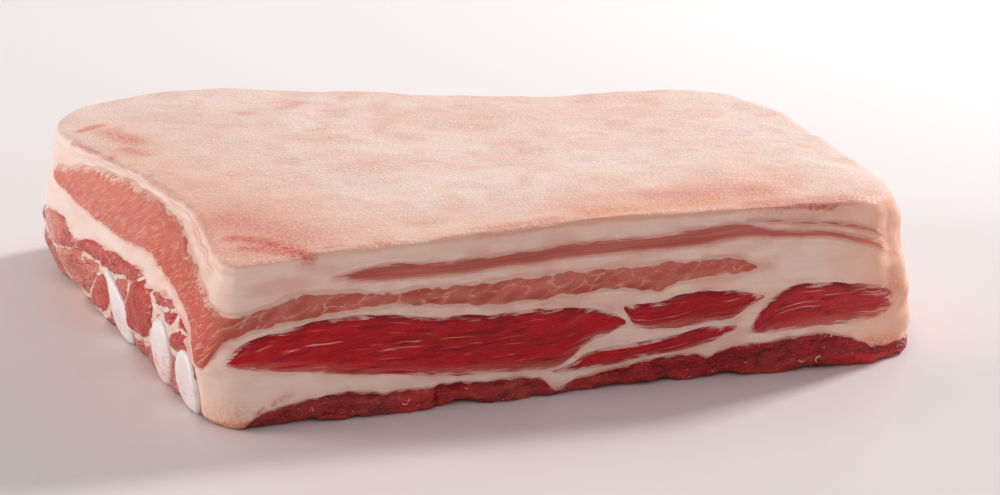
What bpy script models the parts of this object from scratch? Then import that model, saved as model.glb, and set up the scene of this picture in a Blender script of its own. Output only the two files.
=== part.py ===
"""Pork belly slab: rind on top, then fat with sheets of lean lying in it, and three rib ends.

The slab is one thick block of fat. Every sheet of lean and every rib is its own
solid. It lies in a pocket of the fat and runs through to the cut faces, where it
is flush with the fat. All lengths are in millimetres until the meshes are made,
and they count from the front left corner at table height: x along the long front
cut, y to the back, z up. At the end the slab is moved so that the origin lies
under its middle.
"""

import bmesh
import bpy
import numpy as np

MM = 0.001
GAP = 0.3  # clearance between a piece of lean or bone and the fat round it

# ---- the outer form -------------------------------------------------------

# Round the slab, anticlockwise from the front left corner. Each line holds x and
# y where the slab is widest, how far the rind edge lies inside that, how far the
# foot lies inside it, and the radius of the rind edge.
OUTLINE = [
    (-4, -1, 8, 2, 2),
    (3, -9, 5, 1, 2),
    (30, -11, 4, 0, 2),
    (90, -10, 4, 0, 2),
    (150, -10, 4, 0, 2),
    (205, -13, 4, 0, 2),
    (240, -14, 4, 0, 4),
    (257, -8, 5, 0, 6),
    (268, 16, 5, 1, 7),
    (274, 60, 4, 3, 7),
    (274, 110, 3, 6, 7),
    (271, 152, 3, 6, 7),
    (258, 184, 4, 6, 7),
    (225, 197, 4, 6, 7),
    (165, 204, 4, 6, 6),
    (100, 218, 4, 6, 6),
    (50, 229, 4, 6, 5),
    (15, 228, 5, 8, 4),
    (-13, 214, 6, 9, 3),
    (-25, 192, 7, 5, 3),
    (-25, 160, 9, 9, 3),
    (-18, 120, 14, 3, 2),
    (-13, 80, 19, 3, 2),
    (-9, 40, 17, 1, 2),
    (-6, 10, 11, 2, 2),
]
WIDEST = 0.38  # share of the height at which the slab is widest
SLANT_POWER = 1.3  # how the side leans in above that
FOOT_POWER = 1.8  # and how it tucks in below
FRONT_Y = -9.0
BACK_Y = 236.0  # back edge at x = 0
BACK_SLOPE = -0.175  # the slab narrows to the right
FRONT_HEIGHT = [(-30, 56), (0, 57.5), (35, 60.5), (100, 62), (150, 63.3), (215, 62.8),
                (240, 62), (256, 59), (280, 54)]
BACK_HEIGHT = [(-30, 59), (0, 61), (40, 61), (100, 59), (150, 55.5), (215, 54),
               (255, 55), (280, 54)]
FOOT_RADIUS = 3.0
# how far the lower edge of the front cut is lifted off the table, by x
FRONT_LIFT = [(-10, 0), (20, 0.6), (62, 0.8), (78, 3.6), (92, 0.8), (150, 0.4),
              (205, 1.6), (245, 0.8), (280, 0)]
LONG_SIDE = 45.0  # a stretch of the outline longer than this is drawn in three parts, not two
SIDE_LEVELS = 4
RIM_LEVELS = 3
TOP_RINGS = 3
MIDDLE = (125.0, 100.0)

# ---- the sheets of lean ---------------------------------------------------

# Each sheet is given where it shows on the front cut: x, and its lower and upper
# side as percent of the slab's height there. "ends" says how far its left and
# right end move along x from the front cut to the back. "left_low" and
# "left_high" give, for a sheet that runs out through the rib side, how its lower
# and upper side lie there, by depth share. "wave" is how much it rises and falls
# on its way to the back, in percent.
PAST = 0.05  # share of the depth by which a sheet's mesh runs past the cut faces
DEPTHS = (-PAST, 0.22, 0.48, 0.74, 1 + PAST)  # where the cross-sections of a sheet stand
LEFT_DEPTHS = (-PAST, 0.0, 0.05, 0.09, 0.15, 0.31, 0.55, 0.66, 0.76, 1 + PAST)

SHEETS = {
    "skin_muscle": {
        "front": [(41, 85, 86), (50, 81, 88), (59, 79, 89), (80, 77.5, 86.8), (108, 78, 87.5),
                  (138, 78.5, 88.2), (158, 78.5, 87.4), (176, 79.5, 90.3), (190, 81.3, 90.3),
                  (203, 80.3, 86), (221, 79, 84), (237, 73, 78.6), (247, 67.5, 73.2)],
        "ends": (10, 3),
        "wave": 1.6,
        "turns": 1.3,
        "colour": "#A4604F",
    },
    "skin_muscle_upper": {
        "front": [(193, 91.2, 92.3), (198, 90, 92.6), (208, 88, 90.8), (220, 86, 89.2),
                  (230, 83.8, 88), (239, 80.3, 84.5), (248, 75.8, 78.5)],
        "ends": (0, 3),
        "wave": 1.6,
        "turns": 1.3,
        "colour": "#A86354",
    },
    "pale_muscle": {
        "front": [(-45, 34, 75), (-4.5, 36, 75), (-1.5, 47, 74), (3, 55, 73), (8, 58, 73.5),
                  (18, 61.5, 75.5), (30, 62, 77.8), (45, 64, 77.5), (60, 64.2, 73),
                  (80, 60.5, 72.8), (102, 56.5, 73), (140, 58, 72.3), (158, 54.8, 71.5),
                  (168, 58.8, 72), (184, 61, 72), (200, 63, 64.5)],
        "left_low": [(0, 34), (0.05, 35), (0.09, 54), (0.15, 60), (0.27, 64), (0.34, 66),
                     (0.46, 63), (0.53, 63), (0.60, 66), (0.67, 69), (0.75, 71), (1, 72)],
        "left_high": [(0, 75), (0.08, 82), (0.20, 86), (0.31, 93), (0.43, 94.5), (0.58, 94.5),
                      (0.65, 90), (0.73, 82), (0.79, 76), (1, 75)],
        "left_end": [(0, -45), (0.72, -45), (0.75, -24), (0.87, -8), (1, 2)],
        "left_reach": 60,
        "depths": LEFT_DEPTHS,
        "ends": (0, 14),
        "wave": 1.5,
        "turns": 0.9,
        "colour": "#B06A5A",
    },
    "red_muscle_left": {
        "front": [(2.5, 41.5, 45), (9, 39.5, 55.5), (18, 36.5, 58.8), (44, 28.5, 61.5),
                  (60, 25.5, 59.5), (80, 20, 54.5), (119, 17.3, 52), (127, 23, 51),
                  (133, 30, 49.5), (141, 34.5, 46.5), (147, 38.5, 40.5)],
        "ends": (0, 0),
        "left_end": [(0, 2.5), (0.05, 14), (0.09, 36), (0.15, 44), (1, 48)],
        "depths": (-PAST, 0.0, 0.05, 0.09, 0.15, 0.31, 0.55, 0.76, 1 + PAST),
        "wave": 1.3,
        "turns": 1.0,
        "colour": "#8E2129",
    },
    "red_muscle_middle": {
        "front": [(146.5, 46.5, 48.5), (151, 36, 49.3), (158, 33.5, 49.3), (168, 33.2, 51.8),
                  (178, 34.4, 53), (186, 35.8, 52.8), (192, 40.5, 50.8), (199, 46.5, 48)],
        "ends": (0, 4),
        "wave": 1.3,
        "turns": 1.0,
        "colour": "#8A1F29",
    },
    "red_muscle_low": {
        "front": [(120, 14.2, 15), (127, 14, 18.5), (133, 14.6, 24), (144, 15.8, 26),
                  (158, 18, 27.8), (172, 20.8, 30.8), (180, 24, 32), (189, 29, 31.5)],
        "ends": (0, 4),
        "wave": 1.3,
        "turns": 1.0,
        "colour": "#7C2229",
    },
    "red_muscle_right": {
        "front": [(194, 26.5, 29), (198, 26, 39), (207, 26, 50.5), (213, 26.3, 53), (221, 27, 54),
                  (230, 27.5, 52), (240, 28, 49.5), (246, 29, 47), (250.5, 34, 42.5)],
        "ends": (4, 4),
        "wave": 1.3,
        "turns": 1.0,
        "colour": "#90272C",
    },
    "inner_muscle": {
        "front": [(8, -4, 3), (14, -6, 11), (30, -8, 15.2), (43, -10, 17.8), (58, -10, 15),
                  (107, -10, 14.5), (115, -10, 12), (121, -10, 5), (130, -10, 10.4),
                  (145, -10, 13.9), (174, -10, 17.8), (178.5, -10, 14.5), (183, -10, 17.3),
                  (191, -10, 19.8), (221, -10, 23), (233, -10, 19), (242, -10, 12),
                  (300, -10, 8)],
        "left_low": [(0, -4), (0.05, -10), (1, -10)],
        "left_high": [(0, 3), (0.05, 28), (0.09, 48), (0.14, 55), (0.23, 57), (0.30, 53),
                      (0.35, 58), (0.43, 54), (0.55, 53), (0.60, 47), (0.67, 56),
                      (0.75, 52), (0.85, 44), (1, 40)],
        "left_end": [(0, 8), (0.05, -2), (0.09, -45), (1, -45)],
        "left_reach": 56,
        "depths": LEFT_DEPTHS,
        "ends": (0, 0),
        "wave": 1.3,
        "turns": 1.0,
        "colour": "#7A2C2D",
    },
}
TAKES_OVER = 0.06  # depth share from which the rib side's own heights hold
FULL_REACH = 0.15  # and from which they hold as far in as "left_reach"
END_REACH = 75.0  # length over which a shift of a sheet's end fades out
ROUND_END = 12.0  # length over which a sheet that ends short of the rib side closes
SLIVER = 0.25  # half thickness left at a sheet's ends

# ---- the ribs -------------------------------------------------------------

# Each rib's cut end on the rib side: where its middle lies (y, z), half width along
# y, half height, lean in degrees, how much narrower it grows upwards, how far its tip
# bends back, how far it sticks out of the meat, and the rib's length.
RIBS = {
    "rib_1": (93, 13.0, 11.0, 12.8, 0, 0.3, 17, 1.3, 120),
    "rib_2": (43, 13.2, 11.3, 12.4, 22, 0.0, 0, 1.6, 118),
    "rib_3": (15, 11.6, 11.8, 11.6, 5, 0.15, 0, 1.5, 112),
}
BEND_POWER = 5  # keeps the bend to the tip
SIDE_HEIGHT = 58.0  # of the slab on the rib side
RIB_SIDES = 12
BONE_COLOUR = "#E4D6D0"
FAT_COLOUR = "#EACFC4"


def linear(colour):
    """An sRGB hex colour as linear values."""
    values = [int(colour[i:i + 2], 16) / 255 for i in (1, 3, 5)]
    return [v / 12.92 if v <= 0.04045 else ((v + 0.055) / 1.055) ** 2.4 for v in values]


def through(knots, at):
    """A smooth curve through the knots that never overshoots them."""
    table = np.asarray(knots, float)
    x = table[:, 0]
    y = table[:, 1]
    at = np.clip(np.asarray(at, float), x[0], x[-1])
    step = np.diff(x)
    rise = np.diff(y) / step
    slope = np.concatenate([rise[:1], np.zeros(len(x) - 2), rise[-1:]])
    for i in range(1, len(x) - 1):
        if rise[i - 1] * rise[i] > 0:
            first = 2 * step[i] + step[i - 1]
            second = step[i] + 2 * step[i - 1]
            slope[i] = (first + second) / (first / rise[i - 1] + second / rise[i])
    i = np.clip(np.searchsorted(x, at, side="right") - 1, 0, len(step) - 1)
    s = (at - x[i]) / step[i]
    return (
        (2 * s**3 - 3 * s**2 + 1) * y[i]
        + (s**3 - 2 * s**2 + s) * step[i] * slope[i]
        + (3 * s**2 - 2 * s**3) * y[i + 1]
        + (s**3 - s**2) * step[i] * slope[i + 1]
    )


def back_edge(x):
    return BACK_Y + BACK_SLOPE * np.asarray(x, float)


def depth_share(x, y):
    """0 on the front cut and 1 on the back."""
    return (y - FRONT_Y) / (back_edge(x) - FRONT_Y)


def height(x, y):
    """The rind's height over the table."""
    share = np.clip(depth_share(x, y), 0, 1)
    return through(FRONT_HEIGHT, x) * (1 - share) + through(BACK_HEIGHT, x) * share


def outline_ring():
    """OUTLINE as points on a closed smooth curve, and its inward normals."""
    knots = np.asarray(OUTLINE, float)
    ahead = np.roll(knots, -1, axis=0) - knots
    chord = np.hypot(ahead[:, 0], ahead[:, 1])[:, None]
    before = np.roll(chord, 1, axis=0)
    slope = (ahead / chord * before + np.roll(ahead / chord, 1, axis=0) * chord) / (chord + before)
    points = []
    for i in range(len(knots)):
        after = (i + 1) % len(knots)
        length = chord[i, 0]
        parts = 3 if length > LONG_SIDE else 2
        for s in np.arange(parts) / parts:
            points.append(
                (2 * s**3 - 3 * s**2 + 1) * knots[i]
                + (s**3 - 2 * s**2 + s) * length * slope[i]
                + (3 * s**2 - 2 * s**3) * knots[after]
                + (s**3 - s**2) * length * slope[after]
            )
    ring = np.array(points)
    along = np.roll(ring[:, :2], -1, axis=0) - np.roll(ring[:, :2], 1, axis=0)
    along /= np.linalg.norm(along, axis=1)[:, None]
    return ring, np.stack([-along[:, 1], along[:, 0]], axis=1)


def slab_mesh():
    """The whole slab as rings from the foot up over the rim to the middle of the rind."""
    ring, inward = outline_ring()
    around = len(ring)
    tall = height(ring[:, 0], ring[:, 1])
    rim = ring[:, 4]
    on_front = np.clip((20 - ring[:, 1]) / 25, 0, 1)
    lift = through(FRONT_LIFT, ring[:, 0]) * on_front

    def lean(share):
        above = np.clip((share - WIDEST) / (1 - WIDEST), 0, 1) ** SLANT_POWER
        below = np.clip((WIDEST - share) / WIDEST, 0, 1) ** FOOT_POWER
        return ring[:, 2] * above + ring[:, 3] * below

    def level(inset, z_share, raised=0.0):
        plan = ring[:, :2] + inward * inset[:, None]
        return np.column_stack([plan, height(plan[:, 0], plan[:, 1]) * z_share + raised])

    rows = []
    for k in (0.0, 0.5):
        turn = k * np.pi / 2
        inset = lean(np.zeros(around)) + FOOT_RADIUS * (1 - np.sin(turn))
        rows.append(level(inset, 0, FOOT_RADIUS * (1 - np.cos(turn)) + lift * k))
    foot_share = (FOOT_RADIUS + lift) / tall
    rim_share = 1 - rim / tall
    for k in range(SIDE_LEVELS + 1):
        share = foot_share + (rim_share - foot_share) * k / SIDE_LEVELS
        rows.append(level(lean(share), share))
    for k in range(1, RIM_LEVELS + 1):
        turn = k / RIM_LEVELS * np.pi / 2
        share = 1 - rim / tall * (1 - np.sin(turn))
        rows.append(level(lean(share) + rim * (1 - np.cos(turn)), share))
    edge = rows[-1][:, :2]
    for k in range(1, TOP_RINGS):
        plan = edge + (np.array(MIDDLE) - edge) * k / TOP_RINGS
        rows.append(np.column_stack([plan, height(plan[:, 0], plan[:, 1])]))
    points = np.concatenate(rows + [[[*MIDDLE, float(height(*MIDDLE))], [*MIDDLE, 0.0]]])
    faces = ring_faces(len(rows), around)
    top = len(rows) * around
    last = top - around
    for i in range(around):
        after = (i + 1) % around
        faces.append((last + i, last + after, top))
        faces.append((after, i, top + 1))
    return points, faces


def ring_faces(rows, around):
    """Triangles between rings of points that lie one after the other."""
    faces = []
    for row in range(rows - 1):
        for i in range(around):
            a = row * around + i
            b = row * around + (i + 1) % around
            faces.append((a, b, b + around))
            faces.append((a, b + around, a + around))
    return faces


def sheet_sides(sheet, x, x_front, share):
    """Lower and upper side of a sheet, in percent of the height, at one depth."""
    table = np.asarray(sheet["front"], float)
    low = through(table[:, [0, 1]], x_front)
    high = through(table[:, [0, 2]], x_front)
    near_left = np.zeros(len(x))
    if "left_low" in sheet:
        reach = sheet["left_reach"] * min(1.0, max(share, 0.001) / FULL_REACH)
        near_left = np.clip(1 - x / reach, 0, 1) ** 1.5 * min(1.0, share / TAKES_OVER)
        low = low * (1 - near_left) + through(sheet["left_low"], share) * near_left
        high = high * (1 - near_left) + through(sheet["left_high"], share) * near_left
    swing = sheet["wave"] * np.sin(2 * np.pi * sheet["turns"] * share + x_front / 40)
    swing = swing * min(1.0, share / 0.15) * (1 - near_left)
    return low + swing, high + swing


def sheet_mesh(sheet, grow):
    """A sheet as a stack of cross-sections from before the front cut to behind the back."""
    table = np.asarray(sheet["front"], float)
    stations = table[:, 0]
    first = stations[0]
    last = stations[-1]
    count = len(stations)
    points = []
    depths = sheet.get("depths", DEPTHS)
    for share in depths:
        inside = min(max(share, 0.0), 1.0)
        left = first + sheet["ends"][0] * inside
        if "left_end" in sheet:
            left = float(through(sheet["left_end"], inside))
        near_first = np.clip(1 - (stations - first) / END_REACH, 0, 1)
        near_last = np.clip(1 - (last - stations) / END_REACH, 0, 1)
        x = stations + (left - first) * near_first + sheet["ends"][1] * inside * near_last
        x_front = np.maximum(x, first) if "left_end" in sheet else stations
        low, high = sheet_sides(sheet, x, x_front, inside)
        moved = np.clip((left - first) / 8, 0, 1)
        closing = 1 - moved * (1 - np.clip((x - left) / ROUND_END, 0, 1) ** 0.5)
        middle = (low + high) / 2
        low = middle + (low - middle) * closing
        high = middle + (high - middle) * closing
        y = FRONT_Y + (back_edge(x) - FRONT_Y) * share
        tall = height(x, y)
        z_low = tall * low / 100
        z_high = tall * high / 100
        thin = np.maximum(0, 2 * SLIVER - (z_high - z_low)) / 2
        z_low = z_low - thin - grow
        z_high = z_high + thin + grow
        x[0] -= grow
        x[-1] += grow
        points += [(x[i], y[i], z_low[i]) for i in range(count)]
        points += [(x[i], y[i], z_high[i]) for i in reversed(range(count))]
    around = 2 * count
    faces = ring_faces(len(depths), around)
    back = (len(depths) - 1) * around
    for i in range(count - 1):
        j = around - 1 - i
        for a, b, c in ((i, j, j - 1), (i, j - 1, i + 1)):
            faces.append((a, b, c))
            faces.append((back + a, back + c, back + b))
    return np.array(points), faces


def left_face_x(y, share):
    """Where the rib side lies, by y and share of the height."""
    side = sorted((knot[1], knot[0], knot[2], knot[3]) for knot in OUTLINE[18:])
    table = np.array(side, float)
    x = np.interp(y, table[:, 0], table[:, 1])
    above = np.clip((share - WIDEST) / (1 - WIDEST), 0, 1) ** SLANT_POWER
    below = np.clip((WIDEST - share) / WIDEST, 0, 1) ** FOOT_POWER
    return x + np.interp(y, table[:, 0], table[:, 2]) * above + np.interp(y, table[:, 0], table[:, 3]) * below


def widened(ring, grow):
    """A closed ring of points moved out so that its sides move by the clearance."""
    ahead = np.roll(ring, -1, axis=0) - ring
    ahead /= np.linalg.norm(ahead, axis=1)[:, None]
    after = np.column_stack([ahead[:, 1], -ahead[:, 0]])
    before = np.roll(after, 1, axis=0)
    meet = np.maximum(1 + (after * before).sum(axis=1), 0.3)
    return ring + grow * (after + before) / meet[:, None]


def rib_mesh(rib, grow):
    """A rib: an oval bar that runs in from the rib side, bends a little and tapers."""
    y0, z0, wide, tall, lean, taper, bend, out, length = rib
    start = float(left_face_x(y0, z0 / SIDE_HEIGHT)) - out
    turns = np.linspace(0, 2 * np.pi, RIB_SIDES, endpoint=False)
    tilt = np.radians(lean)
    shares = [0.0, 0.012, 0.1, 0.35, 0.7, 1.0]
    size = [0.86, 1.0, 1.0, 0.8, 0.58, 0.28]
    rise = np.sin(turns)
    points = []
    for share, scale in zip(shares, size):
        upright = 1 - min(1.0, share / 0.3)
        angle = tilt * upright
        u = wide * scale * np.cos(turns) * (1 - taper * upright * rise)
        u = u + bend * upright * ((rise + 1) / 2) ** BEND_POWER
        v = tall * scale * (1 - 0.6 * min(1.0, share / 0.35)) * rise
        middle_y = y0 + 9 * share + 5 * np.sin(np.pi * share)
        middle_z = z0 + (5.2 - z0) * min(1.0, share / 0.35)
        y = middle_y + u * np.cos(angle) - v * np.sin(angle)
        z = np.maximum(middle_z + u * np.sin(angle) + v * np.cos(angle), 1.0)
        at_side = left_face_x(y, z / SIDE_HEIGHT) - out
        x = np.where(share < 0.05, at_side, start) + length * share
        x = x - (grow if share == 0 else 0) + (grow if share == 1 else 0)
        points += list(np.column_stack([x, widened(np.column_stack([y, z]), grow)]))
    faces = ring_faces(len(shares), RIB_SIDES)
    end = (len(shares) - 1) * RIB_SIDES
    quarter = RIB_SIDES // 4
    for k in range(2 * quarter):
        right = [(quarter - k) % RIB_SIDES, (quarter - k - 1) % RIB_SIDES]
        left = [(quarter + k) % RIB_SIDES, (quarter + k + 1) % RIB_SIDES]
        for a, b, c in ((right[0], left[0], left[1]), (right[0], left[1], right[1])):
            if len({a, b, c}) == 3:
                faces.append((a, c, b))
                faces.append((end + a, end + b, end + c))
    return np.array(points), faces


def add(name, shape, colour=None, roughness=0.5):
    """A mesh object. Without a colour it is a cutter."""
    points, faces = shape
    mesh = bpy.data.meshes.new(name)
    mesh.from_pydata([tuple(p) for p in (points - SHIFT) * MM], [], faces)
    work = bmesh.new()
    work.from_mesh(mesh)
    bmesh.ops.recalc_face_normals(work, faces=work.faces)
    work.to_mesh(mesh)
    work.free()
    made = bpy.data.objects.new(name, mesh)
    bpy.context.collection.objects.link(made)
    if colour is None:
        made.hide_render = True
        made.display_type = "WIRE"
        return made
    surface = bpy.data.materials.new(name)
    surface.use_nodes = True
    look = surface.node_tree.nodes["Principled BSDF"]
    look.inputs["Base Color"].default_value = (*linear(colour), 1)
    look.inputs["Roughness"].default_value = roughness
    look.inputs["Metallic"].default_value = 0.0
    mesh.materials.append(surface)
    return made


def cut(made, cutter, operation):
    step = made.modifiers.new(cutter.name, "BOOLEAN")
    step.operation = operation
    step.solver = "EXACT"
    step.object = cutter


for old in list(bpy.data.objects):
    bpy.data.objects.remove(old)

whole = slab_mesh()
ribs = {name: rib_mesh(rib, 0.0) for name, rib in RIBS.items()}
every = np.concatenate([whole[0]] + [shape[0] for shape in ribs.values()])
SHIFT = (every.min(axis=0) + every.max(axis=0)) / 2
SHIFT[2] = 0.0

slab_limit = add("slab_limit", whole)
fat = add("fat_and_rind", whole, FAT_COLOUR, 0.45)

rib_pockets = []
for name, rib in RIBS.items():
    add(name, ribs[name], BONE_COLOUR, 0.4)
    rib_pockets.append(add(name + "_pocket", rib_mesh(rib, GAP)))

for name, sheet in SHEETS.items():
    lean = add(name, sheet_mesh(sheet, 0.0), sheet["colour"], 0.4)
    cut(lean, slab_limit, "INTERSECT")
    if name == "inner_muscle":
        for pocket in rib_pockets:
            cut(lean, pocket, "DIFFERENCE")
    cut(fat, add(name + "_pocket", sheet_mesh(sheet, GAP)), "DIFFERENCE")
for pocket in rib_pockets:
    cut(fat, pocket, "DIFFERENCE")
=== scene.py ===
# %% [markdown]
# # A slab of raw pork belly
#
# A butcher's slab of belly, about 300 x 244 x 63 mm, lying on its rib side with the rind up.
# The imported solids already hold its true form: one block of fat under the rind, eight sheets
# of lean that run through it, and three cut rib ends. A copy of those solids could simply be
# painted, but meat needs millimetre relief and colour that knows how far it is from a border.
# So this script makes the same forms again at a finer grain, from the same named measures,
# and each fine piece stands in for its coarse solid.

# %% Open the frame
import math

import bpy
import numpy as np
from mathutils import Matrix, Vector, geometry


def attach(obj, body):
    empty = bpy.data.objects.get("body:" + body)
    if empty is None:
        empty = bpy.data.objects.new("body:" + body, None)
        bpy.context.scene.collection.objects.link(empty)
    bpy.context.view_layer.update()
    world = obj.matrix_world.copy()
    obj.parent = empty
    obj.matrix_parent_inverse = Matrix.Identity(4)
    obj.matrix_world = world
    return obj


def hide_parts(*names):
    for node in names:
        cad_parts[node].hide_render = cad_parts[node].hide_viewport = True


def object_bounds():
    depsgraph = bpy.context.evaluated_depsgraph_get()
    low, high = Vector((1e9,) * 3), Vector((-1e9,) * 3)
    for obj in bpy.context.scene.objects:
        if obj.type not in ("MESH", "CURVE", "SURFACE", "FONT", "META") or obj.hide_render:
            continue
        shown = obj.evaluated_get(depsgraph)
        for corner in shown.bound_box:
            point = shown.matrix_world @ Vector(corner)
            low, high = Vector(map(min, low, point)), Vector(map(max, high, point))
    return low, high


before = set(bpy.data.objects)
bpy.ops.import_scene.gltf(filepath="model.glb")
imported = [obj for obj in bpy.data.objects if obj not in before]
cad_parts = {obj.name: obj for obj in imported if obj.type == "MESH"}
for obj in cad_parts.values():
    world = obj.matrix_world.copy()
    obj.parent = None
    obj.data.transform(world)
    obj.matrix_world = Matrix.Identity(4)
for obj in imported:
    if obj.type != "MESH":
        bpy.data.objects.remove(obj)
low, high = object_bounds()
MM = 0.001
print("slab", [round(side / MM, 1) for side in high - low], "mm,", len(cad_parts), "nodes")

# %% [markdown]
# ## Curves and unevenness
#
# Every border of the slab is a curve through a few measured points. A spline object could
# hold them, but here thousands of points ask for their height at once, so a function on
# numpy arrays is quicker. It is a monotone cubic, which never swings past its own points.
# The noise is a plain lattice of fixed random values with smooth steps between them. It is
# needed outside of any node tree, because the cutters and the colours must agree on it.

# %% Curves and noise
def cubic(s, first, last, leaving, arriving):
    """From first to last as s goes from 0 to 1, with stated slopes at both ends."""
    return ((2 * s**3 - 3 * s**2 + 1) * first + (s**3 - 2 * s**2 + s) * leaving
            + (3 * s**2 - 2 * s**3) * last + (s**3 - s**2) * arriving)


def through(knots, at):
    """A smooth curve through (x, y) knots, read at the given x."""
    x, y = np.asarray(knots, float).T
    at = np.clip(np.asarray(at, float), x[0], x[-1])
    step = np.diff(x)
    rise = np.diff(y) / step
    slope = np.concatenate([rise[:1], np.zeros(len(x) - 2), rise[-1:]])
    for i in range(1, len(x) - 1):
        if rise[i - 1] * rise[i] > 0:
            first = 2 * step[i] + step[i - 1]
            second = step[i] + 2 * step[i - 1]
            slope[i] = (first + second) / (first / rise[i - 1] + second / rise[i])
    i = np.clip(np.searchsorted(x, at, side="right") - 1, 0, len(step) - 1)
    s = (at - x[i]) / step[i]
    return cubic(s, y[i], y[i + 1], step[i] * slope[i], step[i] * slope[i + 1])


def smooth(start, end, x):
    """0 before start and 1 past end, with soft ends; start may be the larger."""
    t = np.clip((np.asarray(x, float) - start) / (end - start), 0, 1)
    return t * t * (3 - 2 * t)


ORDER = np.random.default_rng(7).permutation(1024)
VALUES = np.random.default_rng(11).uniform(-1, 1, 1024)


def noise(points, period, seed=0):
    """Smooth noise from about -1 to 1 over points in mm; the period may differ by axis."""
    p = np.asarray(points, float) / np.asarray(period, float) + 17.3 * (seed + 1)
    cell = np.floor(p).astype(int)
    f = p - cell
    f = f * f * f * (f * (f * 6 - 15) + 10)
    total = np.zeros(len(p))
    for corner in np.ndindex(2, 2, 2):
        key = 0
        weight = 1.0
        for axis in (2, 1, 0):
            key = ORDER[(cell[:, axis] + corner[axis] + key) & 1023]
            weight = weight * (f[:, axis] if corner[axis] else 1 - f[:, axis])
        total += weight * VALUES[key]
    return total


# %% [markdown]
# ## The outline
#
# Seen from above the slab is a four-sided piece cut by hand: a straight front cut, a rib
# side that bulges, a back cut that runs off at an angle and a thin-walled flank at the right.
# It could be drawn as a Bezier curve. A table of (x, y, lean above, lean below, rim radius)
# keeps the slant of the walls and the softness of the rim with each point, in millimetres.
# The points are then spread anew along the curve, closest where the cuts show most detail.

# %% Measures of the block
OUTLINE = [
    (-4, -1, 8, 2, 2), (3, -9, 5, 1, 2), (30, -11, 4, 0, 2), (90, -10, 4, 0, 2), (150, -10, 4, 0, 2),
    (205, -13, 4, 0, 2), (240, -14, 4, 0, 4), (257, -8, 5, 0, 6), (268, 16, 5, 1, 7), (274, 60, 4, 3, 7),
    (274, 110, 3, 6, 7), (271, 152, 3, 6, 7), (258, 184, 4, 6, 7), (225, 197, 4, 6, 7), (165, 204, 4, 6, 6),
    (100, 218, 4, 6, 6), (50, 229, 4, 6, 5), (15, 228, 5, 8, 4), (-13, 214, 6, 9, 3), (-25, 192, 7, 5, 3),
    (-25, 160, 9, 9, 3), (-18, 120, 14, 3, 2), (-13, 80, 19, 3, 2), (-9, 40, 17, 1, 2), (-6, 10, 11, 2, 2),
]
RIB_SIDE_FROM = 18  # the outline's points from here on lie on the rib side
WIDEST = 0.38  # share of the height at which the walls stand furthest out
SLANT_POWER = 1.3
FOOT_POWER = 1.8
FOOT_RADIUS = 3.0
SIDE_HEIGHT = 58.0  # of the slab on the rib side
FRONT_Y = -9.0  # the front cut
BACK_Y = 236.0  # the back cut at x = 0, and how it runs off
BACK_SLOPE = -0.175
FRONT_HEIGHT = [(-30, 56), (0, 57.5), (35, 60.5), (100, 62), (150, 63.3), (215, 62.8), (240, 62),
                (256, 59), (280, 54)]
BACK_HEIGHT = [(-30, 59), (0, 61), (40, 61), (100, 59), (150, 55.5), (215, 54), (255, 55), (280, 54)]
FRONT_LIFT = [(-10, 0), (20, 0.6), (62, 0.8), (78, 3.6), (92, 0.8), (150, 0.4), (205, 1.6), (245, 0.8),
              (280, 0)]
MIDDLE = (125.0, 100.0)  # every point of the outline can be seen from here
BETWEEN_KNOTS = 60
SPACE_FRONT = 1.0  # mm between points on the front cut, the rib side and the rest
SPACE_LEFT = 0.95
SPACE_BACK = 1.8


def back_edge(x):
    """The y of the back cut."""
    return BACK_Y + BACK_SLOPE * np.asarray(x, float)


def depth_share(x, y):
    """0 at the front cut and 1 at the back cut."""
    return (y - FRONT_Y) / (back_edge(x) - FRONT_Y)


def height(x, y):
    """The rind's height over the table."""
    share = np.clip(depth_share(x, y), 0, 1)
    return through(FRONT_HEIGHT, x) * (1 - share) + through(BACK_HEIGHT, x) * share


def slants(share):
    """How much the leans above and below the widest level count at a share of the height."""
    return (np.clip((share - WIDEST) / (1 - WIDEST), 0, 1) ** SLANT_POWER,
            np.clip((WIDEST - share) / WIDEST, 0, 1) ** FOOT_POWER)


# %% Spread points along the outline
def fine_ring():
    """The outline's rows at an even fine spacing, and the inward directions there."""
    knots = np.asarray(OUTLINE, float)
    ahead = np.roll(knots, -1, axis=0) - knots
    chord = np.hypot(ahead[:, 0], ahead[:, 1])[:, None]
    before = np.roll(chord, 1, axis=0)
    slope = (ahead / chord * before + np.roll(ahead / chord, 1, axis=0) * chord) / (chord + before)
    s = np.linspace(0, 1, BETWEEN_KNOTS, endpoint=False)[:, None]
    dense = np.concatenate([cubic(s, knots[i], knots[j], chord[i] * slope[i], chord[i] * slope[j])
                            for i, j in enumerate(np.roll(np.arange(len(knots)), -1))])
    dense = np.vstack([dense, dense[:1]])
    walked = np.concatenate([[0], np.cumsum(np.hypot(*np.diff(dense[:, :2], axis=0).T))])
    x, y = dense[:, 0], dense[:, 1]
    space = np.where(y < 0, SPACE_FRONT, np.where(x < 5, SPACE_LEFT, SPACE_BACK))
    places = np.concatenate([[0], np.cumsum(np.diff(walked) / ((space[1:] + space[:-1]) / 2))])
    count = int(places[-1])
    at = np.interp(np.arange(count) / count * places[-1], places, walked)
    ring = np.stack([np.interp(at, walked, dense[:, k]) for k in range(5)], axis=1)
    along = np.roll(ring[:, :2], -1, axis=0) - np.roll(ring[:, :2], 1, axis=0)
    along /= np.linalg.norm(along, axis=1)[:, None]
    return ring, np.stack([-along[:, 1], along[:, 0]], axis=1)


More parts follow.
